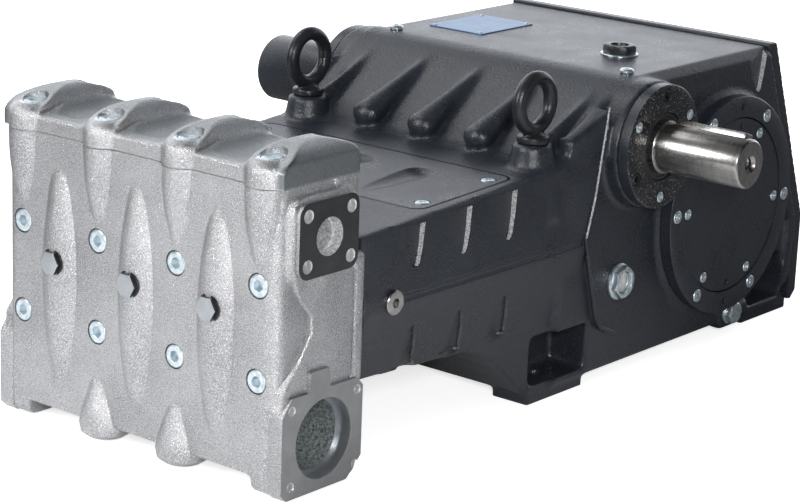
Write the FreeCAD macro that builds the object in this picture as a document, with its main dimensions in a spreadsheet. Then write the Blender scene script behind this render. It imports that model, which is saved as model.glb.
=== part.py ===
"""Triplex plunger pump: nickelled manifold head on a black cast crankcase. Millimetres.

X runs along the crankshaft, with the drive shaft at +X. Y runs from the manifold head at the front
to the rear cover. Z is up. The origin is the centre of the foot bolts, on the base plane.
"""
import FreeCAD, Part
import math
import os
import Sketcher

doc = FreeCAD.newDocument("plunger_pump")
sheet = doc.addObject("Spreadsheet::Sheet", "dims")

# Driving sizes, each written once
DRIVING = {
    # overall places
    "overlap": 1.0,
    "spare": 5.0,
    "plunger_pitch": 110.0,
    "plunger_height": 170.2,
    "head_front": 690.0,
    # manifold head
    "head_half_width": 190.0,
    "head_depth": 110.0,
    "head_bottom": 24.0,
    "suction_barrel": 51.0,
    "head_top": 316.5,
    "head_corner": 26.0,
    "flange_half_height": 68.0,
    "port_stand": 10.5,
    "port_back": 62.0,
    "delivery_height": 263.6,
    "delivery_bore": 19.0,
    "delivery_plate_half_width": 45.0,
    "delivery_plate_half_height": 39.0,
    "delivery_bolt_across": 63.0,
    "delivery_bolt_up": 50.0,
    "delivery_bolt_radius": 6.0,
    "suction_height": 57.6,
    "suction_bore": 41.5,
    "suction_plate_half_width": 61.0,
    "suction_plate_half_height": 53.0,
    "suction_plate_rear_inset": 4.0,
    "suction_block_inner": 159.0,
    "suction_bolt_across": 96.6,
    "suction_bolt_up": 78.2,
    "suction_bolt_radius": 4.6,
    "port_bolt_depth": 22.0,
    "port_depth": 26.0,
    "gallery_shrink": 2.5,
    "leaf_reach": 12.0,
    "leaf_half_length": 116.0,
    "leaf_half_width": 25.0,
    "drop_reach": 13.0,
    "drop_half_length": 54.0,
    "drop_half_width": 28.0,
    "drop_middle": 22.0,
    "drop_low": 8.0,
    "leaf_middle": 170.0,
    "column_radius": 22.0,
    "column_reach": 10.0,
    "column_length": 81.0,
    # valve cover
    "cover_overhang": 4.0,
    "cover_lip": 16.0,
    "cover_depth": 113.0,
    "cover_nose_height": 27.0,
    "cover_nose_back": 9.0,
    "cover_peak": 40.0,
    "cover_peak_front": 38.0,
    "cover_peak_back": 72.0,
    "cover_tail_height": 30.0,
    "cover_tail_back": 9.0,
    "cover_column_rise": 5.0,
    "crown_half_width": 22.0,
    "crown_radius": 26.0,
    "end_crown_radius": 40.0,
    "cover_screw_front": 16.0,
    "cover_screw_rear": 96.0,
    "cover_spot_height": 27.0,
    "cover_spot_radius": 14.0,
    # screws
    "head_screw_radius": 12.0,
    "head_screw_rise": 48.2,
    "head_screw_shank": 8.0,
    "head_screw_height": 16.0,
    "cover_screw_radius": 11.0,
    "cover_screw_shank": 7.0,
    "cover_screw_height": 14.0,
    "cover_screw_length": 8.0,
    "screw_stand": 1.0,
    "screw_length": 40.0,
    "screw_gap": 0.8,
    "hole_gap": 0.3,
    "plug_across": 12.5,
    "plug_height": 8.0,
    "plug_rise": 16.5,
    "plug_washer": 2.0,
    "plug_seat_radius": 17.0,
    "plug_seat_gap": 1.0,
    # crankcase
    "case_front": 570.0,
    "groove_half_width": 200.0,
    "groove_height": 170.5,
    "groove_rise": 4.0,
    "groove_depth": 3.0,
    "groove_rear": 200.0,
    "deck_half_width": 191.0,
    "deck_front_height": 250.0,
    "deck_rear_height": 264.0,
    "deck_rear": 250.0,
    "under_half_width": 186.0,
    "under_front_height": 98.5,
    "under_height": 88.0,
    "under_taper": 4.0,
    "under_rear": 387.0,
    "wall_front": 278.0,
    "wall_bottom": 14.0,
    "belly_back": 49.0,
    "belly_drop": 33.0,
    "belly_corner_back": 15.0,
    "belly_corner_drop": 10.0,
    "shoulder_inset": 8.0,
    "case_half_width": 195.0,
    "case_top": 345.5,
    "case_top_front": 95.0,
    "case_rear_top": 194.0,
    "case_rear_bottom": 285.0,
    "rear_break_height": 118.0,
    "rear_low_height": 45.0,
    "case_edge": 9.0,
    "case_taper": 5.0,
    "chamber_overlap": 20.0,
    "rear_chamfer": 25.0,
    "side_depth": 9.0,
    "side_rim": 17.0,
    "side_start": 135.0,
    "side_low_rise": 18.0,
    "side_low_inset": 26.0,
    "hip_front": 302.0,
    "hip_reach": 202.0,
    "hip_top_drop": 2.0,
    "crease_top_back": 160.0,
    "crease_top_height": 319.0,
    "crease_back": 193.0,
    "crease_low_back": 171.0,
    "scoop_radius": 22.0,
    "scoop_depth": 6.0,
    "scoop_back": 497.0,
    "scoop_pitch": 75.5,
    "scoop_lean": 8.0,
    "scoop_tip": 206.0,
    "scoop_top_gap": 6.0,
    "arch_tip": 140.0,
    "arch_back": 487.0,
    "rib_pitch": 80.0,
    "rib_radius": 15.0,
    "rib_nose_rise": 4.0,
    "rib_nose_inset": 7.0,
    "rib_end_back": 112.0,
    "rib_end_drop": 25.5,
    # feet
    "foot_bolt_half_span": 220.0,
    "foot_bolt_half_width": 158.0,
    "foot_inner": 138.0,
    "foot_outer": 186.0,
    "foot_half_length": 52.0,
    "foot_thickness": 22.0,
    "foot_bolt_radius": 9.0,
    "foot_pocket_height": 54.0,
    "foot_pocket_wall": 4.0,
    "foot_pocket_long": 47.0,
    "foot_pocket_short": 28.0,
    # eye bolts
    "eye_inset": 29.0,
    "eye_back": 251.0,
    "eye_boss_radius": 21.5,
    "eye_boss_root_radius": 32.0,
    "eye_boss_length": 80.0,
    "eye_boss_stand": 33.9,
    "eye_ring_outer": 36.0,
    "eye_ring_bar": 8.0,
    "eye_collar_radius": 18.0,
    "eye_collar_height": 8.0,
    "eye_shank_radius": 10.0,
    "eye_shank_length": 27.0,
    # drive shaft
    "shaft_back": 94.0,
    "shaft_height": 272.0,
    "shaft_radius": 27.5,
    "shaft_end": 340.0,
    "shaft_inner_end": 150.0,
    "shaft_end_gap": 0.5,
    "journal_radius": 30.0,
    "journal_end": 233.0,
    "key_width": 16.0,
    "key_turn": 20.0,
    "key_height": 10.0,
    "key_length": 90.0,
    "key_start": 240.0,
    "centre_radius": 8.0,
    "centre_depth": 6.0,
    "drive_flange_radius": 70.0,
    "drive_flange_face": 228.0,
    "drive_flange_thickness": 14.0,
    "drive_boss_radius": 72.0,
    "flange_screw_inset": 12.0,
    "flange_screw_height": 6.0,
    "seal_radius": 38.0,
    "seal_thickness": 8.0,
    "seal_sink": 2.0,
    "running_gap": 0.3,
    "shaft_cap_radius": 40.0,
    "shaft_cap_end": 350.0,
    # crank covers
    "crank_ahead": 82.0,
    "crank_height": 171.0,
    "crank_ring_radius": 130.0,
    "crank_cap_radius": 104.0,
    "crank_ring_face": 214.5,
    "crank_ring_thickness": 14.0,
    "crank_cap_sink": 1.0,
    "crank_boss_radius": 131.0,
    "boss_root": 18.0,
    "ring_screw_circle": 117.0,
    "cap_screw_circle": 94.0,
    "ring_screw_height": 8.0,
    "cap_screw_height": 7.0,
    "cover_screw_turn": -3.0,
    "flange_screw_turn": 30.0,
    # covers and fittings
    "plate_half_width": 177.0,
    "plate_front": 463.0,
    "plate_rear": 301.0,
    "plate_corner": 18.0,
    "plate_thickness": 9.0,
    "dish_half_span": 86.0,
    "dish_radius": 16.0,
    "dish_depth": 5.0,
    "dish_front": 446.0,
    "dish_rear": 336.0,
    "plate_screw_inset": 16.0,
    "plate_screw_along": 25.6,
    "plate_gap": 1.0,
    "plate_room_rise": 10.0,
    "rear_cover_thickness": 18.0,
    "rear_cover_lip": 3.0,
    "rear_cover_half_width": 192.0,
    "rear_screw_inset": 18.0,
    "rear_screw_rise": 16.0,
    "rear_screw_height": 8.0,
    "small_screw_radius": 8.0,
    "small_screw_height": 5.0,
    "tiny_screw_radius": 6.5,
    "filler_x": 101.0,
    "filler_back": 6.0,
    "filler_washer_radius": 22.0,
    "filler_washer_height": 2.0,
    "filler_across": 17.0,
    "filler_height": 12.0,
    "filler_dish_radius": 11.0,
    "filler_dish_depth": 5.0,
    "sight_back": 120.5,
    "sight_height": 115.0,
    "sight_radius": 21.0,
    "sight_height_out": 11.0,
    "sight_flange_height": 4.0,
    "sight_across": 18.0,
    "sight_window_radius": 12.0,
    "sight_lens_height": 8.0,
    "drain_ahead": 122.0,
    "drain_height": 28.0,
    "drain_radius": 15.0,
    "drain_boss_rim": 2.0,
    "drain_washer_height": 3.0,
    "drain_across": 12.0,
    "drain_height_out": 12.0,
    "side_plug_back": 526.0,
    "side_plug_height": 175.5,
    "side_plug_radius": 13.0,
    "side_plug_thickness": 6.0,
    "side_plug_socket": 5.2,
    "side_plug_socket_sink": 2.0,
    "top_screw_half_span": 167.4,
    "top_screw_back": 87.0,
    "name_plate_x": 117.0,
    "name_plate_ahead": 14.0,
    "name_plate_width": 81.0,
    "name_plate_length": 104.0,
    "name_plate_thickness": 1.2,
    "rivet_radius": 2.5,
    "rivet_inset": 6.0,
    "rivet_height": 1.2,
}

for row, (alias, value) in enumerate(DRIVING.items(), start=1):
    sheet.set(f"A{row}", alias.replace("_", " "))
    sheet.set(f"B{row}", str(value))
    sheet.setAlias(f"B{row}", alias)
doc.recompute()


class Size:
    """A length that carries its number and the sheet formula that gives it."""

    def __init__(self, number, formula):
        self.number = float(number)
        self.formula = formula

    def __add__(self, other):
        other = size(other)
        return Size(self.number + other.number, f"({self.formula} + {other.formula})")

    def __sub__(self, other):
        other = size(other)
        return Size(self.number - other.number, f"({self.formula} - {other.formula})")

    def __mul__(self, other):
        other = size(other)
        return Size(self.number * other.number, f"({self.formula} * {other.formula})")

    def __truediv__(self, other):
        other = size(other)
        return Size(self.number / other.number, f"({self.formula} / {other.formula})")

    def __neg__(self):
        return Size(-self.number, f"(0 - {self.formula})")

    def __radd__(self, other):
        return size(other) + self

    def __rsub__(self, other):
        return size(other) - self

    def __rmul__(self, other):
        return size(other) * self


def size(value):
    """Any number as a Size."""
    if isinstance(value, Size):
        return value
    return Size(value, repr(float(value)))


class Dims:
    """The sheet's driving sizes by name."""


dim = Dims()
for alias in DRIVING:
    setattr(dim, alias, Size(sheet.get(alias), f"dims.{alias}"))

X_AXIS = FreeCAD.Vector(1, 0, 0)
Y_AXIS = FreeCAD.Vector(0, 1, 0)
Z_AXIS = FreeCAD.Vector(0, 0, 1)
TURNS = {
    "+x": FreeCAD.Rotation(Y_AXIS, 90),
    "-x": FreeCAD.Rotation(Y_AXIS, -90),
    "+y": FreeCAD.Rotation(X_AXIS, -90),
    "-y": FreeCAD.Rotation(X_AXIS, 90),
    "+z": FreeCAD.Rotation(),
    "-z": FreeCAD.Rotation(X_AXIS, 180),
}
SIDES = {"right": 1, "left": -1}
ALL_ROUND = 360
HEX_CORNERS = 6
LEAF_STEPS = 8
PLUNGER_COUNT = 3
ROUND_SCREWS = 6
SOCKET_WIDTH_SHARE = 0.55
SOCKET_DEPTH_SHARE = 0.5
WEB_STEPS = 5
WEB_CURVE = 1.55


def bind(item, **values):
    """Sets each property to its size and ties it to the sheet."""
    for name, value in values.items():
        value = size(value)
        setattr(item, name, value.number)
        item.setExpression(name, value.formula)


def put(item, place, turn=None):
    """Places an item, with its base tied to the sheet."""
    place = [size(value) for value in place]
    base = FreeCAD.Vector(*(value.number for value in place))
    item.Placement = FreeCAD.Placement(base, turn or FreeCAD.Rotation())
    for letter, value in zip("xyz", place):
        item.setExpression(f"Placement.Base.{letter}", value.formula)
    return item


def block(name, x, y, z):
    """A box from three (low, high) pairs."""
    item = doc.addObject("Part::Box", name)
    bind(item, Length=x[1] - x[0], Width=y[1] - y[0], Height=z[1] - z[0])
    return put(item, (x[0], y[0], z[0]))


def rod(name, radius, length, place, way="+z"):
    """A cylinder that starts at a place and runs one way."""
    item = doc.addObject("Part::Cylinder", name)
    bind(item, Radius=radius, Height=length)
    return put(item, place, TURNS[way])


def bar(name, radius, start, end):
    """A cylinder from one point to another."""
    start = [size(value) for value in start]
    way = FreeCAD.Vector(*(size(b).number - a.number for a, b in zip(start, end)))
    item = doc.addObject("Part::Cylinder", name)
    bind(item, Radius=radius)
    item.Height = way.Length
    return put(item, start, FreeCAD.Rotation(Z_AXIS, way))


def ball(name, radius, place):
    """A sphere about a place."""
    item = doc.addObject("Part::Sphere", name)
    bind(item, Radius=radius)
    return put(item, place)


def taper(name, radius, end_radius, length, place, way="+z"):
    """A cone that starts at a place and runs one way."""
    item = doc.addObject("Part::Cone", name)
    bind(item, Radius1=radius, Radius2=end_radius, Height=length)
    return put(item, place, TURNS[way])


def hexagon(name, across, length, place, way="+z"):
    """A six-sided bar measured across its flats' half width."""
    item = doc.addObject("Part::Prism", name)
    item.Polygon = HEX_CORNERS
    bind(item, Circumradius=size(across) / math.cos(math.pi / HEX_CORNERS), Height=length)
    return put(item, place, TURNS[way])


def outline(name, points):
    """A closed outline of straight runs, each corner tied to its sizes."""
    sketch = doc.addObject("Sketcher::SketchObject", name)
    points = [(size(across), size(up)) for across, up in points]
    corners = [FreeCAD.Vector(across.number, up.number, 0) for across, up in points]
    count = len(corners)
    for index, corner in enumerate(corners):
        sketch.addGeometry(Part.LineSegment(corner, corners[(index + 1) % count]))
    for index in range(count):
        sketch.addConstraint(Sketcher.Constraint("Coincident", index, 2, (index + 1) % count, 1))
    for index, (across, up) in enumerate(points):
        for kind, value in (("DistanceX", across), ("DistanceY", up)):
            number = sketch.addConstraint(Sketcher.Constraint(kind, -1, 1, index, 1, value.number))
            sketch.setExpression(f"Constraints[{number}]", value.formula)
    return sketch


OUTLINE_TURNS = {
    "x": (FreeCAD.Rotation(FreeCAD.Vector(1, 1, 1), 120), X_AXIS),
    "y": (FreeCAD.Rotation(X_AXIS, 90), Y_AXIS),
    "z": (FreeCAD.Rotation(), Z_AXIS),
}


def slab(name, points, axis, low, high):
    """An outline pushed along an axis. Its points are (y, z) for x, (x, z) for y and (x, y) for z."""
    turn, way = OUTLINE_TURNS[axis]
    sketch = outline(name + "_outline", points)
    start = {"x": (low, 0, 0), "y": (0, low, 0), "z": (0, 0, low)}[axis]
    put(sketch, start, turn)
    item = doc.addObject("Part::Extrusion", name)
    item.Base = sketch
    item.DirMode = "Custom"
    item.Dir = way
    item.Solid = True
    bind(item, LengthFwd=size(high) - size(low))
    return item


def spun(name, points, place, turn=None):
    """An outline of (radius, height) points turned about its own height."""
    sketch = outline(name + "_outline", points)
    sketch.Placement = FreeCAD.Placement(FreeCAD.Vector(), OUTLINE_TURNS["y"][0])
    item = doc.addObject("Part::Revolution", name)
    item.Source = sketch
    item.Axis = Z_AXIS
    item.Angle = ALL_ROUND
    item.Solid = True
    return put(item, place, turn)


def fused(name, parts):
    """Several solids made one."""
    item = doc.addObject("Part::MultiFuse", name)
    item.Shapes = parts
    return item


def shared(name, parts):
    """What several solids have in common."""
    item = doc.addObject("Part::MultiCommon", name)
    item.Shapes = parts
    return item


def cut(name, base, tools):
    """A solid less a list of tools."""
    item = doc.addObject("Part::Cut", name)
    item.Base = base
    item.Tool = tools[0] if len(tools) == 1 else group(name + "_tools", tools)
    return item


def group(name, parts):
    """Like pieces kept as separate solids."""
    item = doc.addObject("Part::Compound", name)
    item.Links = parts
    return item


def node(item, label):
    """Marks an item as a finished sub-part under the name that its file takes."""
    item.Label = label
    NODES[label] = item
    return item


NODES = {}


def moved(place, way, distance):
    """A place shifted along a signed axis such as +x."""
    place = list(place)
    index = "xyz".index(way[1])
    place[index] = place[index] + distance if way[0] == "+" else place[index] - distance
    return tuple(place)


def opposite(way):
    """The same axis the other way."""
    return ("-" if way[0] == "+" else "+") + way[1]


def socket_screw(name, top, way, radius, height, shank=None, length=None):
    """A socket screw whose head's top centre is at a place and whose head points one way."""
    inward = opposite(way)
    parts = [rod(name + "_head", radius, height, top, inward)]
    if shank is not None:
        parts.append(rod(name + "_shank", shank, size(height) + length, top, inward))
    body = fused(name + "_body", parts) if len(parts) > 1 else parts[0]
    socket = hexagon(name + "_socket", radius * SOCKET_WIDTH_SHARE,
                     size(height) * SOCKET_DEPTH_SHARE, top, inward)
    return cut(name, body, [socket])


def screw_hole(name, top, way, radius, height, shank=None, length=None):
    """The space that a socket screw needs, open past its top."""
    inward = opposite(way)
    mouth = moved(top, way, size(height))
    parts = [rod(name + "_bore", radius + dim.screw_gap, size(height) * 2, mouth, inward)]
    if shank is not None:
        depth = size(height) + length + dim.screw_gap
        parts.append(rod(name + "_hole", shank + dim.hole_gap, depth, top, inward))
    return parts


def screws(label, places, way, radius, height, shank=None, length=None):
    """A set of like screws as one sub-part, and the holes that take them."""
    solids = []
    holes = []
    for index, place in enumerate(places):
        name = f"{label}_{index}"
        solids.append(socket_screw(name, place, way, radius, height, shank, length))
        holes.extend(screw_hole(name + "_room", place, way, radius, height, shank, length))
    node(group(label + "_set", solids), label)
    return holes


ridges = [(step - PLUNGER_COUNT / 2) * dim.plunger_pitch for step in range(PLUNGER_COUNT + 1)]
plungers = [(step - (PLUNGER_COUNT - 1) / 2) * dim.plunger_pitch for step in range(PLUNGER_COUNT)]

front = -dim.head_front
head_rear = front + dim.head_depth
port_face = dim.head_half_width + dim.port_stand
eye_boss_top = dim.deck_rear_height + dim.eye_boss_stand
eye_half_span = dim.deck_half_width - dim.eye_inset
port_y = front + dim.port_back


def chamfered(half_width, low, high, corner):
    """A block's plan with its four corners cut off."""
    return [
        (-half_width + corner, low), (half_width - corner, low), (half_width, low + corner),
        (half_width, high - corner), (half_width - corner, high), (-half_width + corner, high),
        (-half_width, high - corner), (-half_width, low + corner),
    ]


def manifold():
    """The head casting: block, rear flange, port blocks, columns, leaves, bores and screw holes."""
    plan = chamfered(dim.head_half_width, front, head_rear, dim.head_corner / 2)
    parts = [slab("head_block", plan, "z", dim.head_bottom, dim.head_top)]
    parts.append(rod("suction_barrel", dim.suction_barrel, dim.head_half_width * 2,
                     (-dim.head_half_width, port_y, dim.suction_height), "+x"))
    parts.append(block("head_flange", (-port_face, port_face), (head_rear - dim.overlap, -dim.case_front),
                       (dim.plunger_height - dim.flange_half_height,
                        dim.plunger_height + dim.flange_half_height)))
    for side, sign in SIDES.items():
        inner = dim.suction_block_inner
        across = (inner, port_face) if sign > 0 else (-port_face, -inner)
        low = dim.suction_height - dim.suction_plate_half_height
        high = dim.suction_height + dim.suction_plate_half_height
        rear = port_y + dim.suction_plate_half_width - dim.suction_plate_rear_inset
        parts.append(block(f"suction_block_{side}", across, (port_y - dim.suction_plate_half_width, rear),
                           (low, high)))
        parts.append(block(f"delivery_block_{side}", across,
                           (port_y - dim.delivery_plate_half_width, port_y + dim.delivery_plate_half_width),
                           (dim.delivery_height - dim.delivery_plate_half_height,
                            dim.delivery_height + dim.delivery_plate_half_height)))
    column_set_back = dim.column_radius - dim.column_reach
    for index, ridge in enumerate(ridges):
        foot = (ridge, front + column_set_back, dim.head_top - dim.column_length)
        parts.append(taper(f"head_column_{index}", column_set_back, dim.column_radius, dim.column_length,
                           foot))
    for index, plunger in enumerate(plungers):
        parts.append(leaf(f"head_leaf_{index}", plunger, dim.leaf_middle, dim.leaf_reach,
                          dim.leaf_half_width,
                          dim.leaf_half_length))
        parts.append(rod(f"plug_seat_{index}", dim.plug_seat_radius, dim.leaf_reach,
                         (plunger, front, dim.plunger_height + dim.plug_rise), "-y"))
    for index, ridge in enumerate(ridges[1:3]):
        drop = leaf(f"head_drop_{index}", ridge, dim.drop_middle, dim.drop_reach, dim.drop_half_width,
                    dim.drop_half_length)
        above = block(f"head_drop_{index}_room", (ridge - dim.drop_half_width, ridge + dim.drop_half_width),
                      (front - dim.drop_reach, head_rear), (dim.drop_low, dim.head_top))
        parts.append(shared(f"head_drop_{index}_cut", [drop, above]))
    tools = []
    for name, bore, height in (("delivery", dim.delivery_bore, dim.delivery_height),
                               ("suction", dim.suction_bore, dim.suction_height)):
        tools.append(rod(f"{name}_gallery", bore - dim.gallery_shrink, port_face * 2,
                         (-port_face, port_y, height), "+x"))
        for side, sign in SIDES.items():
            tools.append(rod(f"{name}_port_{side}", bore, dim.port_depth, (sign * port_face, port_y, height),
                             "-x" if sign > 0 else "+x"))
    tools += port_bolts("delivery", dim.delivery_height, dim.delivery_bolt_across, dim.delivery_bolt_up,
                        dim.delivery_bolt_radius)
    tools += port_bolts("suction", dim.suction_height, dim.suction_bolt_across, dim.suction_bolt_up,
                        dim.suction_bolt_radius)
    places = [(ridge, front, dim.plunger_height + rise) for ridge in ridges
              for rise in (dim.head_screw_rise, -dim.head_screw_rise)]
    tools += screws("head_screws", places, "-y", dim.head_screw_radius, dim.head_screw_height,
                    dim.head_screw_shank,
                    dim.screw_length)
    node(cut("manifold", fused("manifold_casting", parts), tools), "manifold_head")


def leaf(name, x, middle, reach, half_width, half_length):
    """A long pointed swelling on the front face, turned from a lens outline."""
    set_back = (half_width * half_width - reach * reach) / (reach * 2)
    points = [(0, -half_length)]
    for step in range(LEAF_STEPS + 1):
        share = -1 + 2 * step / LEAF_STEPS
        bulge = 1 - share * share
        points.append((set_back + reach * bulge, half_length * share))
    points.append((0, half_length))
    return spun(name, points, (x, front + set_back, middle))


def port_bolts(name, height, across, up, radius):
    """Four blind bolt holes round a port, on both ends of the head."""
    holes = []
    for side, sign in SIDES.items():
        for index, (step_y, step_z) in enumerate(((-1, -1), (1, -1), (1, 1), (-1, 1))):
            place = (sign * port_face, port_y + step_y * across / 2, height + step_z * up / 2)
            way = "-x" if sign > 0 else "+x"
            holes.append(rod(f"{name}_bolt_{side}_{index}", radius, dim.port_bolt_depth, place, way))
    return holes


def valve_cover():
    """The ribbed cover over the delivery valves: a flat lip and four rounded ridges."""
    seam = dim.head_top
    lip = seam + dim.cover_lip
    peak = seam + dim.cover_peak
    back = front + dim.cover_depth
    end = dim.head_half_width + dim.cover_overhang
    plan = chamfered(end, front, back, dim.head_corner / 2)
    parts = [slab("cover_block", plan, "z", seam, lip)]
    crest = [
        (front, seam), (back, seam), (back, lip), (back - dim.cover_tail_back, seam + dim.cover_tail_height),
        (front + dim.cover_peak_back, peak), (front + dim.cover_peak_front, peak),
        (front + dim.cover_nose_back, seam + dim.cover_nose_height), (front, lip),
    ]
    tools = []
    places = []
    for index, ridge in enumerate(ridges):
        foot = (ridge, front + dim.column_radius - dim.column_reach, seam)
        parts.append(rod(f"cover_column_{index}", dim.column_radius, dim.cover_lip + dim.cover_column_rise,
                         foot))
        low = ridge - dim.crown_half_width
        high = ridge + dim.crown_half_width
        parts.append(crown(f"cover_ridge_{index}", ridge, crest, low, high, dim.crown_radius))
        if index == 0:
            parts.append(crown("cover_end_left", ridge, crest, -end, ridge, dim.end_crown_radius))
        if index == PLUNGER_COUNT:
            parts.append(crown("cover_end_right", ridge, crest, ridge, end, dim.end_crown_radius))
        for along in (dim.cover_screw_front, dim.cover_screw_rear):
            top = (ridge, front + along, seam + dim.cover_spot_height)
            places.append(top)
            tools.append(rod(f"cover_spot_{len(places)}", dim.cover_spot_radius, dim.cover_peak, top))
    tools += screws("valve_cover_screws", places, "+z", dim.cover_screw_radius, dim.cover_screw_height,
                    dim.cover_screw_shank, dim.cover_screw_length)
    node(cut("valve_cover_body", fused("valve_cover_casting", parts), tools), "valve_cover")


def crown(name, ridge, crest, low, high, radius):
    """A length of ridge under its crest line, with a rounded top."""
    centre = (ridge, front, dim.head_top + dim.cover_peak - radius)
    return shared(name, [slab(name + "_wall", crest, "x", low, high),
                         rod(name + "_top", radius, dim.cover_depth, centre, "+y")])


def head_plugs():
    """Hexagon plugs on the crests of the leaves."""
    plugs = []
    for index, plunger in enumerate(plungers):
        seat = (plunger, front - dim.leaf_reach, dim.plunger_height + dim.plug_rise)
        washer = rod(f"plug_washer_{index}", dim.plug_seat_radius - dim.plug_washer, dim.plug_washer, seat,
                     "-y")
        head = hexagon(f"plug_head_{index}", dim.plug_across, dim.plug_height, seat, "-y")
        plugs.append(fused(f"head_plug_{index}", [washer, head]))
    node(group("head_plug_set", plugs), "head_plugs")


case_front = -dim.case_front
deck_slope_top = (-dim.case_top_front, dim.case_top)


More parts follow.
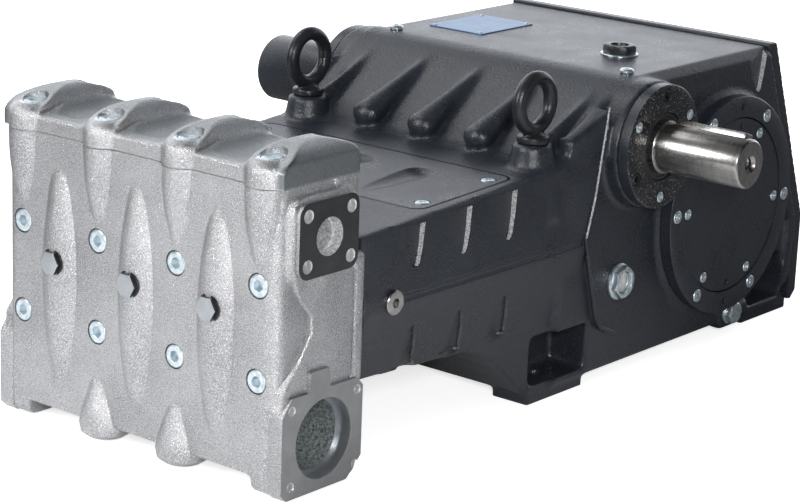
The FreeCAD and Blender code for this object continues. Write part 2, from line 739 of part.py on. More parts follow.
def crankcase():
    """The black casting: front body, shoulder with ribs, crank chamber, bosses and feet."""
    front_side = [
        (case_front, dim.under_front_height), (case_front, dim.deck_front_height),
        (-dim.deck_rear, dim.deck_rear_height),
        (-dim.crease_top_back, dim.crease_top_height - dim.case_edge),
        (-dim.crease_back, dim.groove_height), (-dim.crease_low_back, dim.under_height),
        (-dim.crease_low_back + dim.belly_corner_back, dim.under_height - dim.belly_corner_drop),
        (-dim.crease_low_back + dim.belly_back, dim.under_height - dim.belly_drop),
        (-dim.crease_low_back + dim.belly_back, dim.wall_bottom), (-dim.wall_front, dim.wall_bottom),
    ]
    for step in range(1, WEB_STEPS + 1):
        share = step / WEB_STEPS
        rise = 1 - (1 - share) ** WEB_CURVE
        front_side.append((-dim.wall_front - (dim.under_rear - dim.wall_front) * share,
                           dim.wall_bottom + (dim.under_height - dim.wall_bottom) * rise))
    shoulder = dim.deck_half_width - dim.shoulder_inset
    front_section = [
        (-dim.under_half_width + dim.under_taper, 0), (dim.under_half_width - dim.under_taper, 0),
        (dim.under_half_width, dim.under_height), (dim.groove_half_width, dim.groove_height),
        (dim.deck_half_width, dim.deck_rear_height), (shoulder, dim.case_top),
        (-shoulder, dim.case_top), (-dim.deck_half_width, dim.deck_rear_height),
        (-dim.groove_half_width, dim.groove_height), (-dim.under_half_width, dim.under_height),
    ]
    front_body = shared("front_body", [
        slab("front_side", front_side, "x", -dim.groove_half_width - dim.spare,
             dim.groove_half_width + dim.spare),
        slab("front_section", front_section, "y", case_front, 0),
    ])
    rear_thickness = dim.rear_cover_thickness
    case_side = [
        (-dim.deck_rear + dim.chamber_overlap, dim.wall_bottom),
        (-dim.deck_rear + dim.chamber_overlap, dim.deck_rear_height),
        deck_slope_top, (dim.case_rear_top - rear_thickness, dim.case_top),
        (dim.case_rear_bottom - rear_thickness, dim.rear_break_height),
        (dim.case_rear_bottom - rear_thickness, dim.rear_low_height),
        (dim.case_rear_bottom - rear_thickness - dim.rear_chamfer, dim.wall_bottom),
    ]
    width = dim.case_half_width
    edge = dim.case_edge
    case_section = [
        (-width + dim.case_taper, 0), (width - dim.case_taper, 0), (width, dim.under_height),
        (width, dim.case_top - edge),
        (width - edge, dim.case_top), (-width + edge, dim.case_top), (-width, dim.case_top - edge),
        (-width, dim.under_height),
    ]
    chamber = shared("crank_chamber", [
        slab("case_side", case_side, "x", -width - dim.spare, width + dim.spare),
        slab("case_section", case_section, "y", -dim.deck_rear, dim.case_rear_bottom),
    ])
    parts = [front_body, chamber]
    tools = []
    beyond = dim.groove_half_width + dim.boss_root
    for step in range(-2, 3):
        nose = (step * dim.rib_pitch, -dim.deck_rear + dim.rib_nose_inset,
                dim.deck_rear_height + dim.rib_nose_rise)
        end = (step * dim.rib_pitch, -dim.rib_end_back, dim.case_top - dim.rib_end_drop)
        parts.append(bar(f"rib_{step + 2}", dim.rib_radius, nose, end))
        parts.append(ball(f"rib_nose_{step + 2}", dim.rib_radius, nose))
    for side, sign in SIDES.items():
        out = "+x" if sign > 0 else "-x"
        inward = opposite(out)
        start = sign * (dim.case_half_width - dim.boss_root)
        parts.append(hip(side, sign))
        tools += side_dishes(side, sign)
        boss = dim.drive_flange_face - dim.drive_flange_thickness - dim.case_half_width + dim.boss_root
        parts.append(rod(f"drive_boss_{side}", dim.drive_boss_radius, boss,
                         (start, -dim.shaft_back, dim.shaft_height), out))
        ring = dim.crank_ring_face - dim.crank_ring_thickness - dim.case_half_width + dim.boss_root
        parts.append(rod(f"crank_boss_{side}", dim.crank_boss_radius, ring,
                         (start, dim.crank_ahead, dim.crank_height), out))
        parts.append(taper(f"eye_boss_{side}", dim.eye_boss_radius, dim.eye_boss_root_radius,
                           dim.eye_boss_length,
                           (sign * eye_half_span, -dim.eye_back, eye_boss_top), "-z"))
        feet_x = (dim.foot_inner, dim.foot_outer) if sign > 0 else (-dim.foot_outer, -dim.foot_inner)
        for place, end in (("front", -1), ("rear", 1)):
            middle = end * dim.foot_bolt_half_span
            feet_y = (middle - dim.foot_half_length, middle + dim.foot_half_length)
            parts.append(block(f"foot_{place}_{side}", feet_x, feet_y, (0, dim.foot_thickness)))
            pocket_in = dim.foot_inner + dim.foot_pocket_wall
            pocket_x = (pocket_in, beyond) if sign > 0 else (-beyond, -pocket_in)
            pocket_y = (middle - dim.foot_pocket_long, middle + dim.foot_pocket_long)
            if end > 0:
                pocket_y = (middle - dim.foot_pocket_long, middle + dim.foot_pocket_short)
            tools.append(block(f"foot_pocket_{place}_{side}", pocket_x, pocket_y,
                               (dim.foot_thickness, dim.foot_thickness + dim.foot_pocket_height)))
            tools.append(rod(f"foot_hole_{place}_{side}", dim.foot_bolt_radius,
                             dim.foot_thickness + dim.overlap * 2,
                             (sign * dim.foot_bolt_half_width, middle, -dim.overlap)))
        groove_x = (dim.groove_half_width - dim.groove_depth, beyond)
        if sign < 0:
            groove_x = (-beyond, -dim.groove_half_width + dim.groove_depth)
        tools.append(block(f"groove_{side}", groove_x, (case_front - dim.overlap, -dim.groove_rear),
                           (dim.side_plug_height - dim.groove_rise, dim.side_plug_height + dim.groove_rise)))
        tools.append(rod(f"eye_hole_{side}", dim.eye_shank_radius + dim.hole_gap,
                         dim.eye_shank_length + dim.screw_gap,
                         (sign * eye_half_span, -dim.eye_back, eye_boss_top), "-z"))
    for side, sign in SIDES.items():
        out = "+x" if sign > 0 else "-x"
        seat = (sign * (dim.groove_half_width - dim.groove_depth), -dim.side_plug_back, dim.side_plug_height)
        tools.append(rod(f"side_plug_seat_{side}", dim.side_plug_radius + dim.plug_seat_gap, dim.boss_root,
                         seat, out))
    parts.append(rod("drain_boss", dim.drain_radius + dim.drain_boss_rim, dim.boss_root,
                     (dim.case_half_width, dim.drain_ahead, dim.drain_height), "-x"))
    parts.append(block("drain_lug", (dim.case_half_width - dim.boss_root, dim.case_half_width),
                       (dim.drain_ahead - dim.drain_radius, dim.drain_ahead + dim.drain_radius),
                       (dim.wall_bottom / 2, dim.drain_height)))
    tools.append(rod("shaft_hole", dim.journal_radius + dim.running_gap, dim.shaft_end,
                     (dim.shaft_inner_end - dim.shaft_end_gap, -dim.shaft_back, dim.shaft_height), "+x"))
    return parts, tools


def hip(side, sign):
    """The flank that flares out from the deck's edge to the crease beside the crank chamber."""
    start = dim.deck_half_width
    root = start - dim.boss_root
    wedge = doc.addObject("Part::Wedge", f"hip_{side}_wedge")
    low = dim.groove_height - dim.case_edge
    inner, outer, rear = (root, start, dim.hip_reach) if sign > 0 else (-start, -root, -dim.hip_reach)
    values = {"Xmin": inner, "Xmax": outer, "X2min": inner, "X2max": outer}
    values["X2max" if sign > 0 else "X2min"] = rear
    bind(wedge, Ymin=-dim.hip_front, Ymax=-dim.crease_top_back, Zmin=low, Z2min=low,
         Zmax=dim.deck_rear_height - dim.hip_top_drop, Z2max=dim.crease_top_height, **values)
    profile = [
        (-dim.hip_front, low), (-dim.crease_back, low), (-dim.crease_back, dim.groove_height),
        (-dim.crease_top_back, dim.crease_top_height), (-dim.hip_front, dim.crease_top_height),
    ]
    reach = sorted((sign * (root - dim.overlap), sign * (dim.hip_reach + dim.overlap)),
                   key=lambda value: value.number)
    return shared(f"hip_{side}", [wedge, slab(f"hip_{side}_side", profile, "x", reach[0], reach[1])])


def flank(height):
    """The half width of the front body's flank at a height above or below the groove."""
    if height.number > dim.groove_height.number:
        share = (height - dim.groove_height) / (dim.deck_rear_height - dim.groove_height)
        return dim.groove_half_width - (dim.groove_half_width - dim.deck_half_width) * share
    share = (dim.groove_height - height) / (dim.groove_height - dim.under_height)
    return dim.groove_half_width - (dim.groove_half_width - dim.under_half_width) * share


def side_dishes(side, sign):
    """Shallow dishes in a flank: three open upward, three open downward, and one beside the chamber."""
    tools = []
    radius = dim.scoop_radius
    for step in range(3):
        back = dim.scoop_back - dim.scoop_pitch * step
        top = deck_height(back) - dim.scoop_top_gap
        tools.append(bar(f"scoop_{side}_{step}", radius,
                         (sign * (flank(top) + radius - dim.scoop_depth), -back, top),
                         (sign * (flank(dim.scoop_tip) + radius), -back + dim.scoop_lean, dim.scoop_tip)))
        back = dim.arch_back - dim.scoop_pitch * step
        low = dim.under_height
        tools.append(bar(f"arch_{side}_{step}", radius,
                         (sign * (flank(low) + radius - dim.scoop_depth), -back, low),
                         (sign * (flank(dim.arch_tip) + radius), -back, dim.arch_tip)))
    rear = dim.rear_cover_thickness + dim.side_rim
    profile = [
        (dim.side_start, dim.case_top - dim.side_rim), (dim.case_rear_top - rear,
                                                        dim.case_top - dim.side_rim),
        (dim.case_rear_bottom - rear, dim.rear_break_height),
        (dim.case_rear_bottom - rear, dim.rear_low_height + dim.side_low_rise),
        (dim.case_rear_bottom - rear - dim.side_low_inset, dim.wall_bottom + dim.side_rim),
        (dim.side_start, dim.wall_bottom + dim.side_rim),
    ]
    inner = dim.case_half_width - dim.side_depth
    outer = dim.case_half_width + dim.side_depth
    low, high = (inner, outer) if sign > 0 else (-outer, -inner)
    pocket = slab(f"side_pocket_{side}_blank", profile, "x", low, high)
    island = rod(f"side_island_{side}", dim.crank_boss_radius, dim.boss_root * 2,
                 (low - dim.side_depth, dim.crank_ahead, dim.crank_height), "+x")
    tools.append(cut(f"side_pocket_{side}", pocket, [island]))
    return tools


def round_places(radius, x, y, z, first):
    """Places evenly round a circle that faces along X."""
    places = []
    for index in range(ROUND_SCREWS):
        angle = math.radians(first + index * ALL_ROUND / ROUND_SCREWS)
        places.append((x, y + radius * math.cos(angle), z + radius * math.sin(angle)))
    return places


def drive_end():
    """Bearing flanges, the drive shaft with its key, its seal, and the cap on the far end."""
    y = -dim.shaft_back
    z = dim.shaft_height
    face = dim.drive_flange_face
    thickness = dim.drive_flange_thickness
    for side, sign in SIDES.items():
        out = "+x" if sign > 0 else "-x"
        disc = rod(f"bearing_flange_{side}_disc", dim.drive_flange_radius, thickness,
                   (sign * (face - thickness), y, z), out)
        places = round_places(dim.drive_flange_radius - dim.flange_screw_inset, sign * face, y, z,
                              dim.flange_screw_turn.number)
        tools = screws(f"bearing_flange_screws_{side}", places, out, dim.tiny_screw_radius,
                       dim.flange_screw_height)
        if sign > 0:
            tools.append(rod("seal_seat", dim.seal_radius, dim.seal_thickness,
                             (face - dim.seal_thickness, y, z),
                             "+x"))
            tools.append(rod("flange_bore", dim.journal_radius + dim.running_gap,
                             thickness + dim.overlap * 2,
                             (face - thickness - dim.overlap, y, z), "+x"))
        node(cut(f"bearing_flange_{side}_body", disc, tools), f"bearing_flange_{side}")
    seal = rod("seal_disc", dim.seal_radius, dim.seal_thickness - dim.seal_sink,
               (face - dim.seal_thickness, y, z), "+x")
    eye = rod("seal_eye", dim.journal_radius + dim.running_gap, dim.seal_thickness + dim.overlap,
              (face - dim.seal_thickness - dim.overlap, y, z), "+x")
    node(cut("seal_ring", seal, [eye]), "shaft_seal")
    cap = rod("cap_tube", dim.shaft_cap_radius, dim.shaft_cap_end - face, (-face, y, z), "-x")
    node(cap, "shaft_end_cap")
    shaft = fused("shaft_bar", [
        rod("shaft_journal", dim.journal_radius, dim.journal_end - dim.shaft_inner_end,
            (dim.shaft_inner_end, y, z),
            "+x"),
        rod("shaft_free_end", dim.shaft_radius, dim.shaft_end - dim.journal_end, (dim.journal_end, y, z),
            "+x"),
    ])
    centre = rod("shaft_centre", dim.centre_radius, dim.centre_depth, (dim.shaft_end, y, z), "-x")
    node(cut("shaft_body", shaft, [key_block("keyway", dim.key_height), centre]), "drive_shaft")
    node(key_block("key_bar", dim.key_height / 2), "shaft_key")


def key_block(name, stand):
    """A key's bar from the floor of its keyway to a height above the shaft's surface."""
    floor = dim.shaft_radius - dim.key_height / 2
    turn = math.radians(dim.key_turn.number)
    half = dim.key_width / 2
    start = (dim.key_start, -dim.shaft_back - half * math.cos(turn) + floor * math.sin(turn),
             dim.shaft_height + half * math.sin(turn) + floor * math.cos(turn))
    item = doc.addObject("Part::Box", name)
    bind(item, Length=dim.key_length, Width=dim.key_width, Height=dim.key_height / 2 + stand)
    return put(item, start, FreeCAD.Rotation(X_AXIS, -dim.key_turn.number))


def crank_covers():
    """The ring and cap over each end of the crankshaft, with their screws."""
    y = dim.crank_ahead
    z = dim.crank_height
    face = dim.crank_ring_face
    thickness = dim.crank_ring_thickness
    for side, sign in SIDES.items():
        out = "+x" if sign > 0 else "-x"
        inner = (sign * (face - thickness), y, z)
        ring = rod(f"crank_ring_{side}_disc", dim.crank_ring_radius, thickness, inner, out)
        places = round_places(dim.ring_screw_circle, sign * (face + dim.screw_stand), y, z,
                              dim.cover_screw_turn.number)
        tools = screws(f"crank_ring_screws_{side}", places, out, dim.small_screw_radius,
                       dim.ring_screw_height)
        tools.append(rod(f"crank_ring_{side}_eye", dim.crank_cap_radius + dim.hole_gap, thickness * 2, inner,
                         out))
        node(cut(f"crank_ring_{side}_body", ring, tools), f"crank_ring_{side}")
        cap = rod(f"crank_cap_{side}_disc", dim.crank_cap_radius, thickness - dim.crank_cap_sink, inner, out)
        places = round_places(dim.cap_screw_circle, sign * (face - dim.crank_cap_sink + dim.screw_stand), y,
                              z,
                              dim.cover_screw_turn.number)
        tools = screws(f"crank_cap_screws_{side}", places, out, dim.tiny_screw_radius, dim.cap_screw_height)
        node(cut(f"crank_cap_{side}_body", cap, tools), f"crank_cap_{side}")


def deck_height(back):
    """The deck's height at a distance behind the origin's front."""
    share = (dim.case_front - back) / (dim.case_front - dim.deck_rear)
    return dim.deck_front_height + (dim.deck_rear_height - dim.deck_front_height) * share


def inspection_cover():
    """The plate over the plunger bay, set into the deck, and its four screws."""
    middle = (dim.plate_front + dim.plate_rear) / 2
    rise = dim.deck_rear_height - dim.deck_front_height
    run = dim.case_front - dim.deck_rear
    turn = FreeCAD.Rotation(X_AXIS, math.degrees(math.atan2(rise.number, run.number)))
    half = (dim.plate_front - dim.plate_rear) / 2
    plan = chamfered(dim.plate_half_width, -half, half, dim.plate_corner)
    plate = slab("plate_blank", plan, "z", -dim.plate_thickness, 0)
    carrier = group("plate_carrier", [plate])
    put(carrier, (0, -middle, deck_height(middle)), turn)
    room_plan = chamfered(dim.plate_half_width + dim.plate_gap, -half - dim.plate_gap, half + dim.plate_gap,
                          dim.plate_corner)
    room = slab("plate_room_blank", room_plan, "z", -dim.plate_thickness, dim.plate_room_rise)
    room_carrier = group("plate_room", [room])
    put(room_carrier, (0, -middle, deck_height(middle)), turn)
    places = []
    for step in (-1, 1):
        for back in (dim.plate_front - dim.plate_screw_along, dim.plate_rear + dim.plate_screw_along):
            places.append((step * (dim.plate_half_width - dim.plate_screw_inset), -back,
                           deck_height(back) + dim.screw_stand))
    tools = screws("inspection_cover_screws", places, "+z", dim.small_screw_radius, dim.small_screw_height)
    for step in (-1, 0, 1):
        x = step * dim.dish_half_span
        tools.append(bar(f"plate_dish_{step + 1}", dim.dish_radius,
                         (x, -dim.dish_front, deck_height(dim.dish_front) + dim.dish_radius),
                         (x, -dim.dish_rear, deck_height(dim.dish_rear) + dim.dish_radius - dim.dish_depth)))
    node(cut("plate_body", carrier, tools), "inspection_cover")
    return [room_carrier]


def rear_cover():
    """The cast cover that closes the back of the crank chamber."""
    thickness = dim.rear_cover_thickness
    bottom = dim.case_rear_bottom
    lip = dim.rear_cover_lip
    profile = [
        (dim.case_rear_top - thickness, dim.case_top), (dim.case_rear_top - thickness, dim.case_top + lip),
        (dim.case_rear_top, dim.case_top + lip),
        (bottom, dim.rear_break_height), (bottom, dim.rear_low_height),
        (bottom - thickness, dim.rear_low_height), (bottom - thickness, dim.rear_break_height),
    ]
    width = dim.rear_cover_half_width
    cover = slab("rear_cover_blank", profile, "x", -width, width)
    places = []
    for step in range(-2, 3):
        places.append((step * (width - dim.rear_screw_inset) / 2, bottom + dim.screw_stand,
                       dim.rear_low_height + dim.rear_screw_rise))
    tools = screws("rear_cover_screws", places, "+y", dim.small_screw_radius, dim.rear_screw_height)
    node(cut("rear_cover_body", cover, tools), "rear_cover")


def lifting_eyes():
    """Two eye bolts screwed into the shoulder bosses."""
    for side, sign in SIDES.items():
        x = sign * eye_half_span
        y = -dim.eye_back
        z = eye_boss_top
        ring_radius = dim.eye_ring_outer - dim.eye_ring_bar
        centre = z + dim.eye_collar_height + ring_radius - dim.overlap
        ring = doc.addObject("Part::Torus", f"eye_ring_{side}")
        bind(ring, Radius1=ring_radius, Radius2=dim.eye_ring_bar)
        put(ring, (x, y, centre), TURNS["+x"])
        collar = rod(f"eye_collar_{side}", dim.eye_collar_radius, dim.eye_collar_height, (x, y, z))
        shank = rod(f"eye_shank_{side}", dim.eye_shank_radius, dim.eye_shank_length + dim.overlap,
                    (x, y, z + dim.overlap), "-z")
        node(fused(f"eye_bolt_{side}", [ring, collar, shank]), f"lifting_eye_{side}")


def fittings():
    """Filler plug, sight glass, drain plug, side plugs, top screws and the bare name plate."""
    top = dim.case_top
    filler = (dim.filler_x, -dim.filler_back, top)
    washer = rod("filler_washer", dim.filler_washer_radius, dim.filler_washer_height, filler)
    head = hexagon("filler_head", dim.filler_across, dim.filler_height, filler)
    dish = rod("filler_dish", dim.filler_dish_radius, dim.filler_dish_depth + dim.overlap,
               moved(filler, "+z", dim.filler_height - dim.filler_dish_depth))
    node(cut("filler_body", fused("filler_blank", [washer, head]), [dish]), "oil_filler_plug")
    side = dim.case_half_width
    seat = (side, -dim.sight_back, dim.sight_height)
    ring = fused("sight_blank", [
        rod("sight_flange", dim.sight_radius, dim.sight_flange_height, seat, "+x"),
        hexagon("sight_hex", dim.sight_across, dim.sight_height_out, seat, "+x"),
    ])
    window = rod("sight_window", dim.sight_window_radius, dim.sight_height_out + dim.overlap * 2,
                 moved(seat, "-x", dim.overlap), "+x")
    node(cut("sight_body", ring, [window]), "sight_glass_ring")
    lens = rod("sight_lens_disc", dim.sight_window_radius - dim.hole_gap, dim.sight_lens_height, seat, "+x")
    node(lens, "sight_glass_lens")
    drain_seat = (side, dim.drain_ahead, dim.drain_height)
    drain = fused("drain_body", [
        rod("drain_washer", dim.drain_radius, dim.drain_washer_height, drain_seat, "+x"),
        hexagon("drain_hex", dim.drain_across, dim.drain_height_out, drain_seat, "+x"),
    ])
    node(drain, "drain_plug")
    plugs = []
    for name, sign in SIDES.items():
        out = "+x" if sign > 0 else "-x"
        plug_seat = (sign * (dim.groove_half_width - dim.groove_depth), -dim.side_plug_back,
                     dim.side_plug_height)
        body = rod(f"side_plug_disc_{name}", dim.side_plug_radius, dim.side_plug_thickness, plug_seat, out)
        socket = hexagon(f"side_plug_socket_{name}", dim.side_plug_socket, dim.side_plug_thickness,
                         moved(plug_seat, out, dim.side_plug_socket_sink), out)
        plugs.append(cut(f"side_plug_{name}", body, [socket]))
    node(group("side_plug_set", plugs), "side_plugs")
    caps = []
    for name, sign in SIDES.items():
        seat = (sign * dim.top_screw_half_span, -dim.top_screw_back, top)
        caps.append(rod(f"top_screw_{name}", dim.small_screw_radius, dim.small_screw_height, seat))
    node(group("top_screw_set", caps), "top_screws")
    half_width = dim.name_plate_width / 2
    half_length = dim.name_plate_length / 2
    plate = block("name_plate_sheet", (-dim.name_plate_x - half_width, -dim.name_plate_x + half_width),
                  (dim.name_plate_ahead - half_length, dim.name_plate_ahead + half_length),
                  (top, top + dim.name_plate_thickness))
    node(plate, "name_plate")
    rivets = []
    for step_x, step_y in ((-1, -1), (1, -1), (1, 1), (-1, 1)):
        seat = (-dim.name_plate_x + step_x * (half_width - dim.rivet_inset),
                dim.name_plate_ahead + step_y * (half_length - dim.rivet_inset),
                top + dim.name_plate_thickness)
        rivets.append(rod(f"rivet_{len(rivets)}", dim.rivet_radius, dim.rivet_height, seat))
    node(group("name_plate_rivet_set", rivets), "name_plate_rivets")


manifold()
valve_cover()
head_plugs()
case_parts, case_tools = crankcase()
case_tools += inspection_cover()
drive_end()
crank_covers()
rear_cover()
lifting_eyes()
fittings()
node(cut("crankcase_body", fused("crankcase_casting", case_parts), case_tools), "crankcase")
doc.recompute()

for item in doc.Objects:
    if "Invalid" in item.State or "Error" in item.State:
        raise RuntimeError(f"{item.Name} failed: {item.State}")

os.makedirs("parts", exist_ok=True)
for label, item in NODES.items():
    shape = item.Shape
    if shape.isNull() or not shape.isValid():
        raise RuntimeError(f"{label} has no valid shape")
    shape.exportStep(os.path.join("parts", label + ".step"))
    box = shape.BoundBox
    print(f"{label}: {len(shape.Solids)} solids, {shape.Volume / 1e6:.3f} litres,"
          f" x {box.XMin:.0f}..{box.XMax:.0f}, y {box.YMin:.0f}..{box.YMax:.0f},"
          f" z {box.ZMin:.0f}..{box.ZMax:.0f}")
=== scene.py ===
"""Looks of a triplex plunger pump: nickelled head, black crankcase, bright shaft."""
import math
from contextlib import contextmanager

import bpy
from mathutils import Matrix, Vector


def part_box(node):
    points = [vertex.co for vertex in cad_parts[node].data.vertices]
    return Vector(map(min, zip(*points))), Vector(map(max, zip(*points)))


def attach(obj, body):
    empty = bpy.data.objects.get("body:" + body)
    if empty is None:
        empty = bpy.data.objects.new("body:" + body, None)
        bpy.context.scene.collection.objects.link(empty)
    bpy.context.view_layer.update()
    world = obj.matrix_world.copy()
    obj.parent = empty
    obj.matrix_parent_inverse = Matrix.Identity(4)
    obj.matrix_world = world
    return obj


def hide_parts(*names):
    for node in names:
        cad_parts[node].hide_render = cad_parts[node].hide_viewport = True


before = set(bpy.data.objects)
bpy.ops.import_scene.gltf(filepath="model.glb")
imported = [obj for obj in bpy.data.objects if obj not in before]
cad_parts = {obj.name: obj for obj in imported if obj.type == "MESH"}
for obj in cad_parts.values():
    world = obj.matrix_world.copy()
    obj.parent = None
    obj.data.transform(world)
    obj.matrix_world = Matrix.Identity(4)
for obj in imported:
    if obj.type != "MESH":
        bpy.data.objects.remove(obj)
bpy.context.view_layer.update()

MM = 0.001
SIDES = {"right": 1, "left": -1}
OUT = {1: "+x", -1: "-x"}
# The pieces are measured in millimetres; the finishes, lamps and floor are in metres.
PLUNGERS = (-110, 0, 110)
RIDGES = (-165, -55, 55, 165)
HEAD_FRONT = -690
PLUG_HEIGHT = 186.7
PORT_LINE = -628
PORT_FACE = 200.5
DELIVERY, DELIVERY_BOLTS = 263.6, (31.5, 25)
SUCTION, SUCTION_BOLTS = 57.6, (48.3, 39.1)
SEAM = 316.5
CASE_TOP = 345.5
CRANK_Y, CRANK_Z = 82, 171
SHAFT_Y, SHAFT_Z = -94, 272
EYE_HEIGHT = 79


class Wire:
    """A shader socket that adds Math nodes when it is used in a sum."""

    def __init__(self, finish, socket):
        self.finish = finish
        self.socket = socket

    def _math(self, operation, first, second=0.0, clamp=False):
        return self.finish.node("ShaderNodeMath", {"operation": operation, "use_clamp": clamp},
                                {0: first, 1: second})

    def __abs__(self):
        return self._math("ABSOLUTE", self)

    def __add__(self, other):
        return self._math("ADD", self, other)

    def __sub__(self, other):
        return self._math("SUBTRACT", self, other)

    def __rsub__(self, other):
        return self._math("SUBTRACT", other, self)

    def __mul__(self, other):
        return self._math("MULTIPLY", self, other)

    def least(self, other):
        """The lesser of two values."""
        return self._math("MINIMUM", self, other)

    def most(self, other):
        """The greater of two values."""
        return self._math("MAXIMUM", self, other)

    def over(self, low, high, start=0, end=1):
        """The start at the low value and the end at the high one, held there beyond them."""
        share = self._math("MULTIPLY", self - low, 1 / (high - low), clamp=True)
        return share if (start, end) == (0, 1) else share * (end - start) + start


class Finish:
    """The nodes of one material or world, with a single method that adds any node."""

    def __init__(self, name, owner=None):
        self.owner = owner or bpy.data.materials.new(name)
        self.owner.use_nodes = True
        self.tree = self.owner.node_tree
        self.tree.nodes.clear()

    def node(self, kind, settings=None, values=None, out=0):
        """Adds a node, with its settings set before the values or links of its sockets."""
        made = self.tree.nodes.new(kind)
        for name, value in (settings or {}).items():
            setattr(made, name, value)
        for name, value in (values or {}).items():
            socket = made.inputs[name]
            if isinstance(value, Wire):
                self.tree.links.new(value.socket, socket)
            elif hasattr(socket.default_value, "__len__") and len(socket.default_value) == 4:
                socket.default_value = (*value, 1)
            else:
                socket.default_value = value
        return Wire(self, made.outputs[out]) if made.outputs else None

    def place(self, kind="Object"):
        """The point on the pump, in metres."""
        return self.node("ShaderNodeTexCoord", out=kind)

    def vector(self, operation, first, second):
        """The distance or the dot product of two vectors."""
        return self.node("ShaderNodeVectorMath", {"operation": operation}, {0: first, 1: second}, "Value")

    def stretched(self, x, y, z):
        """The point with each axis scaled."""
        return self.node("ShaderNodeMapping", values={"Vector": self.place(), "Scale": (x, y, z)})

    def noise(self, scale, detail=2, roughness=0.5, at=None):
        """Soft noise with a scale in spots per metre."""
        return self.node("ShaderNodeTexNoise",
                         values={"Vector": at or self.place(), "Scale": scale, "Detail": detail,
                                 "Roughness": roughness})

    def axis(self, letter):
        """The point's distance along one axis, in metres."""
        return self.node("ShaderNodeSeparateXYZ", values={0: self.place()}, out=letter)

    def mix(self, share, first, second):
        """One colour turning into another."""
        return self.node("ShaderNodeMix", {"data_type": "RGBA"}, {0: share, 6: first, 7: second}, out=2)

    def bump(self, height, distance, strength=1.0):
        """A raised surface from a height, whose full depth is a distance in metres."""
        return self.node("ShaderNodeBump", values={"Height": height, "Distance": distance,
                                                   "Strength": strength})

    def surface(self, **values):
        """The closing shader."""
        values = {name.replace("_", " "): value for name, value in values.items()}
        shader = self.node("ShaderNodeBsdfPrincipled", values=values)
        self.node("ShaderNodeOutputMaterial", values={0: shader})
        return self.owner


def nickelled_casting(name, smooth_with_painted_shade=False):
    """Light grey plated casting with bright specks; on the cover, smoother troughs and ends, with painted shade
    darkening them and the ridge tops.
    """
    finish = Finish(name)
    grain = finish.noise(620, 3, 0.7)
    cloud = finish.noise(14, 3, 0.6)
    speck = finish.noise(1100, 1, 0.5).over(0.54, 0.66)
    tone = grain.over(0.32, 0.68) * 0.7 + cloud.over(0.3, 0.7) * 0.3
    body = finish.mix(tone, (0.20, 0.20, 0.21), (0.62, 0.62, 0.63))
    colour = finish.mix(speck * 0.8, body, (0.95, 0.95, 0.95))
    rough = 0.38 - grain.over(0.35, 0.7) * 0.14
    depth = grain
    if smooth_with_painted_shade:
        # Painted shade: the troughs between the ridges and the cover's two ends get a darker colour, standing for
        # the dark ceiling and sides they reflect; their weaker bump is a real smoother finish.
        across, y, z = abs(finish.axis("X")), finish.axis("Y"), finish.axis("Z")
        off_ridge = abs(abs(across - 0.110) - 0.055)
        trough = off_ridge.over(0.022, 0.030) * y.over(-0.689, -0.684) * z.over(0.330, 0.336)
        trough = trough * (1 - across.over(0.160, 0.170))
        share = trough.most(across.over(0.184, 0.191) * z.over(0.3165, 0.320))
        colour = finish.mix(share * 0.8, colour, (0.18, 0.205, 0.21))
        # Painted shade: darker still towards the ridge tops, above 338 mm.
        colour = finish.mix(z.over(0.338, 0.352) * 0.55, colour, (0.15, 0.17, 0.175))
        depth = grain * (1 - share * 0.5)
    return finish.surface(Base_Color=colour, Metallic=0.93, Roughness=rough, Normal=finish.bump(depth, 0.0008))


def machined_face(name, dark, light, roughness):
    """A cut face with faint tool lines."""
    finish = Finish(name)
    lines = finish.noise(2600, 2, 0.5, finish.stretched(1, 0.04, 1))
    cloud = finish.noise(40, 3, 0.6)
    colour = finish.mix(lines * 0.4 + cloud.over(0.3, 0.7) * 0.5, dark, light)
    return finish.surface(Base_Color=colour, Metallic=0.75, Roughness=cloud * 0.12 + roughness,
                          Normal=finish.bump(lines, 0.00008, 0.4))


def black_casting(name, tone, skin):
    """Black paint over a sand casting: a fine orange peel over slow waves, and thin rubbed spots."""
    finish = Finish(name)
    peel = finish.noise(330, 3, 0.65)
    wave = finish.noise(22, 3, 0.5)
    dust = finish.noise(800, 1, 0.5).over(0.64, 0.74)
    body = finish.mix(wave.over(0.3, 0.7), (tone * 0.75, tone * 0.9, tone * 1.2),
                      (tone * 1.1, tone * 1.3, tone * 1.7))
    colour = finish.mix(dust * 0.35, body, (0.16, 0.17, 0.19))
    rough = wave.over(0.3, 0.7) * 0.08 + 0.20 + peel * 0.12
    return finish.surface(Base_Color=colour, Roughness=rough, Normal=finish.bump(peel, skin, 1.0))


def oiled_flange(name):
    """Black flange face by the shaft, wet with oil and spotted with grit."""
    finish = Finish(name)
    grit = finish.noise(420, 2, 0.6).over(0.60, 0.70)
    rust = finish.noise(95, 3, 0.6).over(0.50, 0.66)
    body = finish.mix(rust * 0.4, (0.010, 0.011, 0.013), (0.050, 0.040, 0.034))
    colour = finish.mix(grit * 0.55, body, (0.40, 0.39, 0.37))
    return finish.surface(Base_Color=colour, Roughness=grit * 0.25 + 0.20,
                          Normal=finish.bump(finish.noise(380, 3, 0.6), 0.0004, 0.7))


def turned_steel(name):
    """Bare turned steel, with fine rings round the shaft and darker rubbed bands."""
    finish = Finish(name)
    rings = finish.noise(1.0, 3, 0.7, finish.stretched(2200, 5, 5))
    bands = finish.noise(1.0, 2, 0.5, finish.stretched(70, 3, 3))
    along = finish.noise(1.0, 3, 0.6, finish.stretched(9, 160, 160))
    share = bands.over(0.3, 0.7) * 0.5 + along.over(0.3, 0.7) * 0.5
    colour = finish.mix(share, (0.27, 0.26, 0.25), (0.56, 0.55, 0.53))
    return finish.surface(Base_Color=colour, Metallic=1.0, Roughness=rings * 0.14 + along * 0.10 + 0.16,
                          Normal=finish.bump(rings, 0.00006, 0.5))


